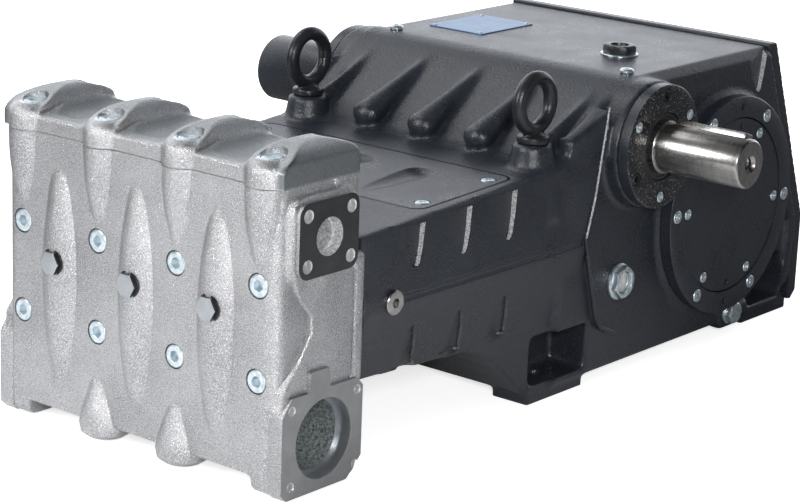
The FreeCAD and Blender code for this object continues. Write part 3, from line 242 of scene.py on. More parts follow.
def plain_finish(name, metallic, tint, span, dark, light, gloss, skin=None, coat=0.0):
    """Two tones in a noise, a gloss that follows a noise, and a skin raised by one.

    A noise is (scale, detail, roughness), with its stretch along the axes after it where it has one.
    """
    finish = Finish(name)

    def noise(scale, detail, roughness, *stretch):
        return finish.noise(scale, detail, roughness, finish.stretched(*stretch) if stretch else None)

    colour = finish.mix(noise(*tint).over(*span), dark, light)
    spots, share, least = gloss
    values = {"Base_Color": colour, "Metallic": metallic, "Roughness": noise(*spots) * share + least,
              "Coat_Weight": coat}
    if skin:
        lumps, depth, strength = skin
        values["Normal"] = finish.bump(noise(*lumps), depth, strength)
    return finish.surface(**values)


LUMPS, HIGHLIGHT_GRAIN, PATCH = (330, 4, 0.7), (620, 3, 0.7), (45, 2, 0.5)
STAIN, GREY, WAVE, FINE = (180, 3, 0.6), (70, 3, 0.6), (35, 2, 0.5), (900, 2, 0.5)
OIL, BRUSHED = (90, 2, 0.5), (1.0, 2, 0.6, 40, 2200, 40)
BORE_SKIN, EDGE_SKIN = (LUMPS, 0.0008, 1.0), (HIGHLIGHT_GRAIN, 0.0003, 0.6)
FINISHES = {
    "nickelled_casting": (nickelled_casting,),
    # The cover's casting, with painted shade in its troughs, ends and ridge tops.
    "cover_casting": (nickelled_casting, True),
    "dark_pad": (machined_face, (0.035, 0.037, 0.038), (0.075, 0.078, 0.080), 0.30),
    # Bright cut metal in the bolt holes; on the ports' mouth chamfers it is a painted highlight ring.
    "cut_metal_and_painted_highlight": (machined_face, (0.50, 0.50, 0.50), (0.80, 0.80, 0.80), 0.30),
    "grey_pad": (machined_face, (0.22, 0.22, 0.225), (0.34, 0.34, 0.345), 0.34),
    "black_casting": (black_casting, 0.018, 0.0007),
    "black_cover": (black_casting, 0.017, 0.00045),
    "rough_bore": (plain_finish, 0.35, LUMPS, (0.35, 0.65), (0.05, 0.06, 0.06), (0.42, 0.46, 0.46),
                   (LUMPS, 0.2, 0.35), BORE_SKIN),
    # Painted light: the delivery bore's wall is paler than the casting, standing for light falling into it.
    "bore_painted_light": (plain_finish, 0.35, LUMPS, (0.35, 0.65), (0.30, 0.31, 0.31), (0.85, 0.86, 0.86),
                  (LUMPS, 0.2, 0.35), BORE_SKIN),
    # Painted highlights on the black paint: a light grey for lit edges and scoop walls, a dim grey for the downward
    # scoops' rear walls.
    "painted_highlight_edge": (plain_finish, 0.0, HIGHLIGHT_GRAIN, (0.36, 0.56), (0.07, 0.07, 0.075), (0.55, 0.56, 0.57),
                    (PATCH, 0.2, 0.3), EDGE_SKIN),
    "painted_dim_highlight_edge": (plain_finish, 0.0, HIGHLIGHT_GRAIN, (0.36, 0.56), (0.03, 0.031, 0.033), (0.12, 0.124, 0.128),
                  (PATCH, 0.2, 0.3), EDGE_SKIN),
    "oiled_flange": (oiled_flange,),
    "zinc_screw": (plain_finish, 0.9, STAIN, (0.35, 0.65), (0.50, 0.58, 0.63), (0.80, 0.87, 0.90),
                   (STAIN, 0.2, 0.22), ((1400, 2, 0.5), 0.0001, 0.5)),
    "grey_plug": (plain_finish, 0.85, GREY, (0.3, 0.7), (0.36, 0.38, 0.40), (0.46, 0.48, 0.50),
                  (GREY, 0.15, 0.28), ((1200, 2, 0.5), 0.0001, 0.5)),
    "turned_steel": (turned_steel,),
    "black_steel": (plain_finish, 0.2, WAVE, (0.3, 0.7), (0.010, 0.011, 0.013), (0.024, 0.026, 0.030),
                    (WAVE, 0.15, 0.22), ((520, 3, 0.6), 0.0004, 0.8)),
    "black_rubber": (plain_finish, 0.0, FINE, (0, 1), (0.010, 0.010, 0.010), (0.030, 0.029, 0.028),
                     (FINE, 0.2, 0.5), (FINE, 0.0001, 0.4)),
    "window": (plain_finish, 0.0, OIL, (0.3, 0.7), (0.30, 0.30, 0.29), (0.80, 0.80, 0.78),
               (OIL, 0.05, 0.06), None, 1.0),
    "blue_plate": (plain_finish, 0.25, (60, 3, 0.5), (0.3, 0.7), (0.09, 0.18, 0.33), (0.14, 0.25, 0.42),
                   (BRUSHED, 0.1, 0.30), (BRUSHED, 0.00004, 0.4)),
}
MATERIALS = {name: make(name, *details) for name, (make, *details) in FINISHES.items()}


def mm(*values):
    """A point given in millimetres."""
    return Vector(values) * MM


def let_go():
    """Leaves nothing selected and no mesh open."""
    if bpy.context.object and bpy.context.object.mode != "OBJECT":
        bpy.ops.object.mode_set(mode="OBJECT")
    bpy.ops.object.select_all(action="DESELECT")


def pick(item):
    """Makes one piece the active one."""
    let_go()
    item.select_set(True)
    bpy.context.view_layer.objects.active = item
    return item


def settle(item, name):
    """Puts a piece's place and turn into its mesh."""
    pick(item)
    bpy.ops.object.transform_apply(location=True, rotation=True, scale=True)
    item.name = name
    return item


def apply(item, kind, **settings):
    """Adds a modifier and applies it."""
    pick(item)
    modifier = item.modifiers.new(kind.title(), kind)
    for name, value in settings.items():
        setattr(modifier, name, value)
    bpy.ops.object.modifier_apply(modifier=modifier.name)
    return item


def eased(item, width, segments=2, angle=30):
    """Rounds the sharp edges."""
    return apply(item, "BEVEL", width=width * MM, segments=segments, limit_method="ANGLE",
                 angle_limit=math.radians(angle))


def primitive(name, add, **settings):
    """One of Blender's plain meshes, with its place and turn in the mesh."""
    let_go()
    add(**settings)
    return settle(bpy.context.object, name)


@contextmanager
def opened(item):
    """Opens a piece's mesh, with all of it selected, and closes it afterwards."""
    pick(item)
    bpy.ops.object.mode_set(mode="EDIT")
    bpy.ops.mesh.select_mode(type="FACE")
    bpy.ops.mesh.select_all(action="SELECT")
    yield
    bpy.ops.object.mode_set(mode="OBJECT")


def block(name, x, y, z, corner=0, axis=None, segments=4):
    """A block between (low, high) pairs, with its corners rounded along one axis or all round."""
    low, high = mm(x[0], y[0], z[0]), mm(x[1], y[1], z[1])
    item = primitive(name, bpy.ops.mesh.primitive_cube_add, size=1, location=(low + high) / 2, scale=high - low)
    if corner and axis is None:
        eased(item, corner, segments)
    elif corner:
        bpy.ops.object.mode_set(mode="EDIT")
        bpy.ops.mesh.select_all(action="DESELECT")
        bpy.ops.mesh.select_mode(type="EDGE")
        bpy.ops.object.mode_set(mode="OBJECT")
        for edge in item.data.edges:
            a, b = (item.data.vertices[index].co for index in edge.vertices)
            edge.select = abs((b - a).normalized()[axis]) > 0.99
        bpy.ops.object.mode_set(mode="EDIT")
        bpy.ops.mesh.bevel(offset=corner * MM, segments=segments)
        bpy.ops.object.mode_set(mode="OBJECT")
    return item


WAYS = {
    "+x": Matrix.Rotation(math.radians(90), 4, "Y"),
    "-x": Matrix.Rotation(math.radians(-90), 4, "Y"),
    "+y": Matrix.Rotation(math.radians(-90), 4, "X"),
    "-y": Matrix.Rotation(math.radians(90), 4, "X"),
    "+z": Matrix.Identity(4),
}


def turned(name, profile, place=(0, 0, 0), way="+z", sides=48):
    """A round piece raised ring by ring from (radius, height) steps."""
    radius, height = profile[0]
    item = primitive(name, bpy.ops.mesh.primitive_circle_add, vertices=sides, radius=radius * MM,
                     fill_type="NGON", location=(0, 0, height * MM))
    with opened(item):
        for new_radius, new_height in profile[1:]:
            rise = (new_height - height) * MM
            bpy.ops.mesh.extrude_region_move(TRANSFORM_OT_translate={"value": (0, 0, rise)})
            share = new_radius / radius
            bpy.ops.transform.resize(value=(share, share, 1), center_override=(0, 0, new_height * MM))
            radius, height = new_radius, new_height
        bpy.ops.mesh.select_all(action="SELECT")
        bpy.ops.mesh.normals_make_consistent(inside=False)
    item.data.transform(Matrix.Translation(mm(*place)) @ WAYS[way])
    return item


def plate(name, points, axis, low, high):
    """A flat outline, given as the two other axes' points, raised into a solid along one axis."""
    item = primitive(name, bpy.ops.mesh.primitive_circle_add, vertices=len(points), radius=1, fill_type="NGON")
    for vertex, (first, second) in zip(item.data.vertices, points):
        vertex.co = mm(*{0: (low, first, second), 1: (first, low, second), 2: (first, second, low)}[axis])
    rise = [0, 0, 0]
    rise[axis] = (high - low) * MM
    with opened(item):
        bpy.ops.mesh.extrude_region_move(TRANSFORM_OT_translate={"value": rise})
        bpy.ops.mesh.select_all(action="SELECT")
        bpy.ops.mesh.normals_make_consistent(inside=False)
    return item


def strut(name, start, end, first, last, sides, extra=0):
    """A round bar between two points in metres, with a radius at each end."""
    bar = primitive(name, bpy.ops.mesh.primitive_cone_add, vertices=sides, radius1=first * MM,
                    radius2=last * MM, depth=(end - start).length + extra * MM)
    turn = (end - start).to_track_quat("Z", "Y").to_matrix().to_4x4()
    bar.data.transform(Matrix.Translation((start + end) / 2) @ turn)
    return bar


def hexagon(name, radius, depth, lift, dome, seat, turn=0.0, sides=64):
    """A hexagon head with a domed top, made at the origin and moved by its seat's matrix."""
    head = primitive(name, bpy.ops.mesh.primitive_cylinder_add, vertices=6, radius=radius * MM,
                     depth=depth * MM, location=(0, 0, lift * MM))
    head.data.transform(Matrix.Rotation(turn, 4, "Z"))
    common(head, turned("dome", dome, sides=sides))
    head.data.transform(seat)
    return head


def seated(place, way="+z", turn=0.0):
    """The matrix that puts a piece on its seat, pointing one way."""
    return Matrix.Translation(mm(*place)) @ WAYS[way] @ Matrix.Rotation(turn, 4, "Z")


def span(sign, inner, outer):
    """Two distances out along X as a (low, high) pair on one side."""
    return tuple(sorted((sign * inner, sign * outer)))


def copied(item, name, matrix):
    """A copy with its own mesh, put somewhere else."""
    twin = item.copy()
    twin.data = item.data.copy()
    twin.name = name
    bpy.context.scene.collection.objects.link(twin)
    twin.data.transform(matrix)
    return twin


def joined(items, name):
    """Several meshes as one object."""
    pick(items[0])
    for item in items[1:]:
        item.select_set(True)
    if len(items) > 1:
        bpy.ops.object.join()
    items[0].name = name
    return items[0]


def from_node(node, name):
    """A merged copy of a CAD node's mesh, free of the node itself."""
    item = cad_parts[node].copy()
    item.data = item.data.copy()
    item.name = name
    item.parent = None
    item.hide_render = item.hide_viewport = False
    for key in list(item.keys()):
        del item[key]
    bpy.context.scene.collection.objects.link(item)
    item.data.materials.clear()
    with opened(item):
        bpy.ops.mesh.remove_doubles(threshold=0.00001)
    return item


def carved(item, others, operation="DIFFERENCE"):
    """Cuts, adds or intersects a piece with others, and throws those away."""
    tool = joined(others, "tool")
    apply(item, "BOOLEAN", operation=operation, object=tool, solver="EXACT")
    bpy.data.objects.remove(tool)
    return item


def merged(item, parts):
    """Adds pieces to another with a crisp line where they meet."""
    return carved(item, parts, "UNION")


def common(item, other):
    """What two pieces share."""
    return carved(item, [other], "INTERSECT")


def cast(parts, name, voxel, rounds, keep=1.0):
    """Fuses forms into one casting, with soft blends where they meet."""
    item = joined(parts, name)
    apply(item, "REMESH", mode="VOXEL", voxel_size=voxel * MM)
    apply(item, "SMOOTH", factor=0.5, iterations=rounds)
    if keep < 1:
        apply(item, "DECIMATE", ratio=keep)
    return item


def zone_softened(item, test, rounds):
    """Smooths only the part of a casting whose points pass a test."""
    group = item.vertex_groups.new(name="zone")
    group.add([vertex.index for vertex in item.data.vertices if test(vertex.co / MM)], 1.0, "REPLACE")
    apply(item, "SMOOTH", factor=0.5, iterations=rounds, vertex_group="zone")
    item.vertex_groups.clear()
    return item


def finish(item, material, node=None, body="pump", angle=35, others=(), slot=None):
    """Shades a piece and gives it its finish, its body and the node it stands for; its slot is not used."""
    pick(item)
    bpy.ops.object.shade_smooth_by_angle(angle=math.radians(angle))
    item.data.materials.clear()
    item.data.materials.append(MATERIALS[material])
    for other, _ in others:
        item.data.materials.append(MATERIALS[other])
    if others:
        for face in item.data.polygons:
            place = face.center / MM
            for index, (_, test) in enumerate(others):
                if test(place, face.normal):
                    face.material_index = index + 1
    slot or material
    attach(item, body)
    if node:
        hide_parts(node)
    return item


def socket_screw(name, radius, height, socket, depth=0.55, chamfer=1.2):
    """A cap screw with a hexagon socket, its head's top at height 0 and pointing up."""
    rim = radius * 0.86
    item = turned(name, [(radius - 0.3, -height), (radius, -height + 0.3), (radius, -chamfer),
                         (radius - chamfer * 0.35, -chamfer * 0.35), (radius - chamfer, 0), (rim - chamfer, 0)])
    return eased(socket_cut(item, socket, height * depth), 0.25, 1, 40)


def screw_set(name, pattern, places, way, node, material="zinc_screw", turn=17.0):
    """Copies of one screw, each turned a little differently, as one piece."""
    copies = []
    for index, place in enumerate(places):
        spin = math.radians(turn * (index * 7 % 5))
        copies.append(copied(pattern, f"{name}_{index}", seated(place, way, spin)))
    bpy.data.objects.remove(pattern)
    return finish(joined(copies, name), material, node)


def solid_boxes(node):
    """The box of each loose solid in a node, found by joining the faces that share a corner."""
    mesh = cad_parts[node].data
    solids = []
    for face in mesh.polygons:
        corners = {tuple(round(value, 5) for value in mesh.vertices[index].co) for index in face.vertices}
        touching = [solid for solid in solids if solid & corners]
        solids = [solid for solid in solids if not solid & corners] + [corners.union(*touching)]
    return sorted(([min(values) / MM for values in zip(*solid)], [max(values) / MM for values in zip(*solid)])
                  for solid in solids)


def socket_cut(item, radius, depth):
    """Cuts a hexagon socket into a screw whose top is at height 0."""
    tool = primitive("socket", bpy.ops.mesh.primitive_cylinder_add, vertices=6, radius=radius * MM,
                     depth=depth * 2 * MM)
    return carved(item, [tool])


def trim(item, place, way):
    """Cuts a piece off flat beyond a plane."""
    with opened(item):
        bpy.ops.mesh.bisect(plane_co=mm(*place), plane_no=way, use_fill=True, clear_outer=True)
    return item


def tilted(item, place, angle, axis):
    """Turns a piece about a line through a place, in millimetres and degrees."""
    centre = Matrix.Translation(mm(*place))
    item.data.transform(centre @ Matrix.Rotation(math.radians(angle), 4, axis) @ centre.inverted())
    return item


def tops(node, way):
    """The middle of each loose solid's far side in the way that it points."""
    axis = "xyz".index(way[1])
    places = []
    for low, high in solid_boxes(node):
        place = [(first + last) / 2 for first, last in zip(low, high)]
        place[axis] = (high if way[0] == "+" else low)[axis]
        places.append(tuple(place))
    return places


def manifold_head():
    """The head casting: rounded block, flange, barrel, pads, columns, leaves and drops."""
    forms = [
        block("body", (-190, 190), (HEAD_FRONT, -580), (24, SEAM + 6), 14, 2, 5),
        block("flange", (-198.5, 198.5), (-584, -570), (102.5, 238), 7, 1, 3),
        turned("barrel", [(51, 0), (51, 380)], (-190, PORT_LINE, SUCTION), "+x", 64),
    ]
    for sign in OUT:
        sides = span(sign, 158, 196)
        forms.append(block("suction_body", sides, (-689, -571), (5.2, 109), 13, 0, 4))
        forms.append(block("delivery_body", sides, (-677, -584), (219, 307), 17, 0, 4))
        forms.append(block("corner", span(sign, 170, 193), (-612, -577), (284, SEAM + 6), 4, 2, 3))
        forms.append(primitive("pad_root", bpy.ops.mesh.primitive_uv_sphere_add, segments=32, ring_count=16,
                               radius=1, location=mm(sign * 172, PORT_LINE, 226), scale=mm(26, 31, 44)))
    head = cast(forms, "manifold_head_casting", 2.4, 4, 0.5)
    column = [(6, -12), (12, 0), (15, 14), (17.8, 24), (20, 34), (21.6, 46), (22.7, 60), (23.2, 81), (23.2, 88)]
    drop = [(10, 84), (14, 75), (18, 64), (22, 50), (26, 36), (28.5, 23), (27, 14), (20, 9), (10, 7)]
    columns = [turned("column", column, (ridge, HEAD_FRONT + 12, SEAM - 81), sides=64) for ridge in RIDGES]
    drops = [turned("drop", drop, (ridge, HEAD_FRONT + 15, 0), sides=64) for ridge in RIDGES[1:3]]
    merged(head, [leaf(plunger) for plunger in PLUNGERS] + drops)
    merged(head, [end_relief(sign) for sign in OUT])
    merged(head, columns)
    pads = []
    for sign in OUT:
        sides = span(sign, 182, PORT_FACE + 4)
        pads.append(block("delivery_pad", sides, (-672, -585), (225.5, 301.8), 13, 0, 5))
        pads.append(suction_pad(*sides))
    merged(head, pads)
    merged(head, [turned("plug_seat", [(14.6, 0), (14.6, 23.2)], (plunger, HEAD_FRONT + 14, PLUG_HEIGHT), "-y")
                  for plunger in PLUNGERS])
    trim(head, (0, 0, SEAM), (0, 0, 1))
    for sign in OUT:
        trim(head, (sign * PORT_FACE, 0, 0), (sign, 0, 0))
    trim(head, (0, -570, 0), (0, 1, 0))
    cutters = [turned("counterbore", [(13.1, -18), (13.1, 20)], place, "-y") for place in tops("head_screws", "-y")]
    for sign in OUT:
        cutters += port_cutters(sign, DELIVERY, [(16.5, -120), (16.5, -12), (19, -12), (19, -2), (20, 3)],
                                DELIVERY_BOLTS, [(3, -7.5), (5.8, -6), (5.8, -1.6), (7.2, 0.4), (8, 2)])
        cutters += port_cutters(sign, SUCTION, [(37, -120), (37, -17), (41.5, -17), (41.5, -1.5), (42.5, 3)],
                                SUCTION_BOLTS, [(2, -7), (4.4, -6), (4.4, -1.2), (5.6, 0.4), (6, 2)])
    carved(head, cutters)
    return finish(head, "nickelled_casting", "manifold_head", angle=40, others=(
        ("dark_pad", lambda place, normal: on_pad(place, normal) and place.z > 170),
        ("grey_pad", lambda place, normal: on_pad(place, normal) and place.z < 170),
        # Painted highlight: the suction counterbore and its step take the lighter grey plug finish as an inner ring.
        ("grey_plug", port_wall(SUCTION, 42.3, 183)),
        # Painted highlight rings on the ports' mouth chamfers, and bright cut metal in the bolt holes.
        ("cut_metal_and_painted_highlight", port_wall(SUCTION, 43.5, 199)),
        ("cut_metal_and_painted_highlight", port_wall(DELIVERY, 21, 198.4)),
        # Painted light on the delivery bore's wall.
        ("bore_painted_light", port_wall(DELIVERY, 20, 60)),
        ("rough_bore", port_wall(SUCTION, 42.3, 60, 183)),
        ("cut_metal_and_painted_highlight", in_bolt_hole)))


def port_cutters(sign, height, port, bolts, hole):
    """Cutters for a stepped port and its four bolt holes."""
    face = sign * PORT_FACE
    cutters = [turned("port", port, (face, PORT_LINE, height), OUT[sign], 64)]
    for step_y in (-bolts[0], bolts[0]):
        for step_z in (-bolts[1], bolts[1]):
            cutters.append(turned("bolt_hole", hole, (face, PORT_LINE + step_y, height + step_z), OUT[sign], 24))
    return cutters


def on_pad(place, normal):
    """Whether a face is the machined face of a port's pad."""
    return abs(abs(place.x) - PORT_FACE) < 0.3 and abs(normal.x) > 0.9


def port_wall(height, radius, inner, outer=300):
    """A test for the faces on a port's wall between two distances from the middle."""
    def test(place, normal):
        return (inner < abs(place.x) < outer and not on_pad(place, normal)
                and math.hypot(place.y - PORT_LINE, place.z - height) < radius)
    return test


def in_bolt_hole(place, normal):
    """Whether a face is inside a bolt hole of a port's pad."""
    if on_pad(place, normal) or abs(place.x) <= 182:
        return False
    return any(math.hypot(abs(place.y - PORT_LINE) - across, abs(place.z - height) - rise) < radius
               for height, (across, rise), radius in ((DELIVERY, DELIVERY_BOLTS, 7.5), (SUCTION, SUCTION_BOLTS, 6)))


def suction_pad(inner, outer):
    """The suction port's pad: corners cut, and a tab on its upper edge."""
    points = [(-690, 92), (-677, 109.5), (-651, 109.5), (-649, 130), (-622, 130), (-620, 109.5), (-580, 109.5),
              (-570.5, 100), (-570.5, 26), (-592, 5.2), (-682, 5.2), (-690, 13)]
    return eased(plate("suction_pad", points, 0, inner, outer), 1.0, 2)


def end_relief(sign):
    """The raised part of the head's end, between the pads and behind its slanting edge."""
    points = [(-676, 300), (-676, 235), (-670, 216), (-663, 203), (-646, 184), (-646, 168), (-664, 142), (-687, 114),
              (-687, 40), (-584, 40), (-584, 300)]
    return eased(plate("end_relief", points, 0, *span(sign, 180, 196.5)), 3.0, 3)


def leaf(x):
    """A long pointed swelling over a plunger."""
    half_width, reach, half_length = 25, 12, 116
    back = (half_width ** 2 - reach ** 2) / (2 * reach)
    profile = []
    for step in range(-10, 11):
        share = step / 10
        profile.append((back + reach * (1 - share * share), half_length * share))
    return turned("leaf", profile, (x, HEAD_FRONT + back, 170), "+z", 128)


CREST = [(-690, 333), (-685, 339), (-676, 344), (-664, 349.5), (-650, 353.5), (-635, 356), (-618, 356), (-602, 353),
         (-590, 349.5), (-582, 345.5), (-578.5, 339), (-577, 332)]
TROUGH = [(-690, 332.5), (-684, 334), (-665, 339), (-646, 343), (-622, 343), (-602, 341), (-586, 338), (-577, 334)]
COVER_FOOT = [(-577, SEAM - 3), (-690, SEAM - 3)]


def crown(low, high, ridge, radius):
    """A length of ridge under the crest line, rounded over its top."""
    item = plate("crown", CREST + COVER_FOOT, 0, low, high)
    return common(item, turned("round", [(radius, 0), (radius, 130)], (ridge, -700, 356.5 - radius), "+y", 96))


def valve_cover():
    """The cover over the valves: four rounded ridges, smooth troughs between, and crisp screw bores."""
    screws = tops("valve_cover_screws", "+z")
    base = common(plate("base", TROUGH + COVER_FOOT, 0, -194, 194),
                  block("room", (-194, 194), (-690, -577), (SEAM - 3, 380), 13, 2, 5))
    carved(base, [turned("trough", [(60, 0), (60, 100)], (plunger, -676, 333.5 + 60), "+y", 128)
                  for plunger in PLUNGERS])
    forms = [base, crown(-194, -165, -165, 38), crown(165, 194, 165, 38)]
    forms += [crown(ridge - 22, ridge + 22, ridge, 25) for ridge in RIDGES]
    forms += [turned("nose", [(23.2, -3), (23.2, 14), (22, 19), (19, 23), (14, 26), (6, 28)],
                     (ridge, HEAD_FRONT + 12, SEAM), sides=64) for ridge in RIDGES]
    cover = cast(forms, "valve_cover_casting", 1.8, 5)
    trim(cover, (0, 0, SEAM + 0.6), (0, 0, -1))
    apply(cover, "DECIMATE", ratio=0.5)
    carved(cover, [turned("bore", [(11.8, -12), (11.8, -0.4), (15, -0.2), (15.5, 30)], top) for top in screws])
    # The cover's finish has painted shade in its troughs, ends and ridge tops.
    finish(cover, "cover_casting", "valve_cover", angle=45, others=(("zinc_screw", spot_place),),
           slot="nickelled_casting")
    screw_set("valve_cover_screw_set", socket_screw("cover_screw", 11, 14, 5.6), screws, "+z", "valve_cover_screws")


def spot_place(place, normal):
    """Whether a face is the floor of a recess round a cover screw."""
    return normal.z > 0.95 and 343 < place.z < 343.8 and min(abs(place.x - ridge) for ridge in RIDGES) < 15


def head_fasteners():
    """Socket screws and hexagon plugs on the head's front, with painted shade on the plugs' washers and hexagon
    sides.
    """
    pattern = socket_screw("head_screw", 12, 15, 6.2)
    screw_set("head_screw_set", pattern, tops("head_screws", "-y"), "-y", "head_screws")
    plugs = []
    for plunger in PLUNGERS:
        seat = (plunger, HEAD_FRONT - 9.6, PLUG_HEIGHT)
        washer = turned("plug_washer", [(14, -0.6), (14.4, 0), (14.4, 1.2), (13.4, 1.4)], seat, "-y")
        head = hexagon("plug_head", 13.2, 4.6, 3.5, [(18, -4), (14.0, 4.6), (12.5, 5.7), (10, 5.8)],
                       seated(seat, "-y", math.radians(30)))
        plugs += [eased(washer, 0.2, 1), eased(head, 0.5, 2)]
    # Painted shade: the washers and the hexagons' sides take the black steel finish, standing for the shadow ring
    # round each plug and its shaded flanks.
    finish(joined(plugs, "head_plug_set"), "grey_plug", "head_plugs", others=(
        ("black_steel", lambda place, normal: place.y > HEAD_FRONT - 11.2 or abs(normal.y) < 0.3),))


DECK_MIDDLE, DECK_FRONT, DECK_LENGTH, DECK_RISE, DECK_LOW = 382, 570, 320, 14, 250
FLANK, FLANK_BREAK, UPPER_TILT, LOWER_TILT = 200, 170.5, 5.5, 9.6
SCOOP_COUNT = 3


def deck_height(back):
    """The deck's height at a distance in front of the origin."""
    return DECK_LOW + DECK_RISE * (DECK_FRONT - back) / DECK_LENGTH


ON_DECK = Matrix.Translation(mm(0, -DECK_MIDDLE, deck_height(DECK_MIDDLE))) \
    @ Matrix.Rotation(math.atan2(DECK_RISE, DECK_LENGTH), 4, "X")


def flank_tilted(item, sign, upper):
    """Leans a piece with the upper or the lower half of the flank."""
    return tilted(item, (sign * FLANK, 0, FLANK_BREAK), sign * (-UPPER_TILT if upper else LOWER_TILT), "Y")


def flank_fillers():
    """Blocks that close the plain scoops of the solid before the real ones are cut."""
    fillers = []
    for sign in OUT:
        sides = span(sign, 184, 200)
        for step in range(SCOOP_COUNT):
            back = 497 - 75.5 * step
            top = deck_height(back) - 4
            fillers.append(flank_tilted(block("upper", sides, (-back - 20, -back + 20), (172, top)), sign, True))
            back -= 10
            fillers.append(flank_tilted(block("lower", sides, (-back - 24, -back + 24), (100, 169)), sign, False))
        fillers.append(block("groove", span(sign, 184, 199.4), (-569, -198), (166, 184)))
    return fillers


SCOOP = [(-38, 51), (-35, 34), (-29, 19), (-21, 7), (-15, 2), (-11, 0), (-7.5, 1.5), (-4.5, 6), (1.5, 24), (7, 51)]
ARCH = [(-36, -46), (-31, -24), (-24, -9), (-17, -2), (-12, 0), (-8, -2), (-5, -9), (-2, -26), (0, -46)]


def flank_scoops():
    """Cutters for the slanted scoops: flush at the front edge, deepest at the rear one."""
    cutters = []
    for sign in OUT:
        sides = span(sign, 199.4, 216)
        for step in range(SCOOP_COUNT):
            rear = -478 + 77.5 * step
            rise = (deck_height(-rear) - 6 - 203.5) / 51
            cutter = plate("scoop", [(rear + y, 203.5 + z * rise) for y, z in SCOOP], 0, *sides)
            tilted(cutter, (sign * FLANK, rear - 38, 230), sign * 7.0, "Z")
            cutters.append(flank_tilted(cutter, sign, True))
            rear = -476 + 78 * step
            cutter = plate("arch", [(rear + y, 142 + z) for y, z in ARCH], 0, *sides)
            tilted(cutter, (sign * FLANK, rear - 36, 120), sign * 5.0, "Z")
            cutters.append(flank_tilted(cutter, sign, False))
    return cutters


CREASE = [(-166, 322), (-175, 270), (-183.5, 222), (-196, 179.5), (-190, 158), (-180, 122), (-168, 84), (-158, 70),
          (-132, 58)]


def crease_bead(sign):
    """The thin raised edge where the flank meets the crank chamber's wall."""
    beads = []
    for (y0, z0), (y1, z1) in zip(CREASE, CREASE[1:]):
        radius = 2.2 if z0 > 179 else 3.2
        beads.append(strut("bead", mm(sign * FLANK, y0, z0), mm(sign * FLANK, y1, z1), radius, radius, 12, 2))
    return beads


def painted_highlight_place(place, normal):
    """Whether a face of the crankcase gets the painted highlight of a lit edge: a scoop's rear wall or the upper
    crease.
    """
    across = abs(place.x)
    if 183 < across < 199.6 and normal.y < -0.35:
        scoop = -486 < place.y < -318 and 203 < place.z < 262
        return scoop or 152 < place.y < 172 and 292 < place.z < 344
    if across > 201.2 and place.z > 181:
        for (y0, z0), (y1, z1) in zip(CREASE, CREASE[1:]):
            run = Vector((y1 - y0, z1 - z0))
            off = Vector((place.y - y0, place.z - z0))
            share = min(max(off.dot(run) / run.length_squared, 0), 1)
            if (off - run * share).length < 1.9:
                return True
    return False


def painted_dim_highlight_place(place, normal):
    """Whether a face of the crankcase is the rear wall of a downward scoop, which gets a dim painted highlight."""
    return 180 < abs(place.x) < 199.4 and normal.y < -0.35 and -486 < place.y < -310 and 86 < place.z < 148


SHOULDER = [(-262, 263.5), (-250, 264), (-236, 268.5), (-215, 280), (-190, 296.5), (-165, 313), (-145, 326),
            (-128, 336), (-112, 342.5), (-98, 345.2), (-85, 345.5)]
REAR_SCOOP = [(128, 345), (132, 326), (140, 307), (148, 297), (154, 293.5), (158, 298), (163, 318), (168, 345)]


def spine(name, start, thick, end, thin):
    """A round rib that tapers from a ball at its start."""
    body = strut(name, mm(*start), mm(*end), thick, thin, 40)
    return [body, primitive(name, bpy.ops.mesh.primitive_uv_sphere_add, segments=40, ring_count=20,
                            radius=thick * MM, location=mm(*start))]


def shoulder_forms():
    """The bank behind the deck, its five ribs like comets, and the bosses under the eye bolts."""
    forms = [plate("bank", SHOULDER + [(-85, 200), (-262, 200)], 0, -196, 183.5)]
    for x in (-80, 0, 80):
        wider = Matrix.Translation(mm(x, 0, 0)) @ Matrix.Diagonal((1.28, 1, 1, 1)) @ Matrix.Translation(mm(-x, 0, 0))
        for part in spine("rib", (x, -241, 280), 14.5, (x, -120, 337), 1.5):
            part.data.transform(wider)
            forms.append(part)
        forms.append(turned("rib_foot", [(14, -24), (11.5, -8)], (x, -238, 280)))
    for x in (-160, 160):
        forms += spine("end_rib", (x, -234, 279), 10.5, (x, -120, 337), 1.5)
    boss = [(37, -80), (34, -40), (31, -34), (27.4, -28), (24.8, -18), (22.4, -4), (21.8, 0)]
    return forms + [turned("eye_boss", boss, eye_seat(side), sides=64) for side in SIDES]


def eye_seat(side):
    """Where an eye bolt meets its boss."""
    low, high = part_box(f"lifting_eye_{side}")
    return (low.x + high.x) / 2 / MM, (low.y + high.y) / 2 / MM, high.z / MM - EYE_HEIGHT


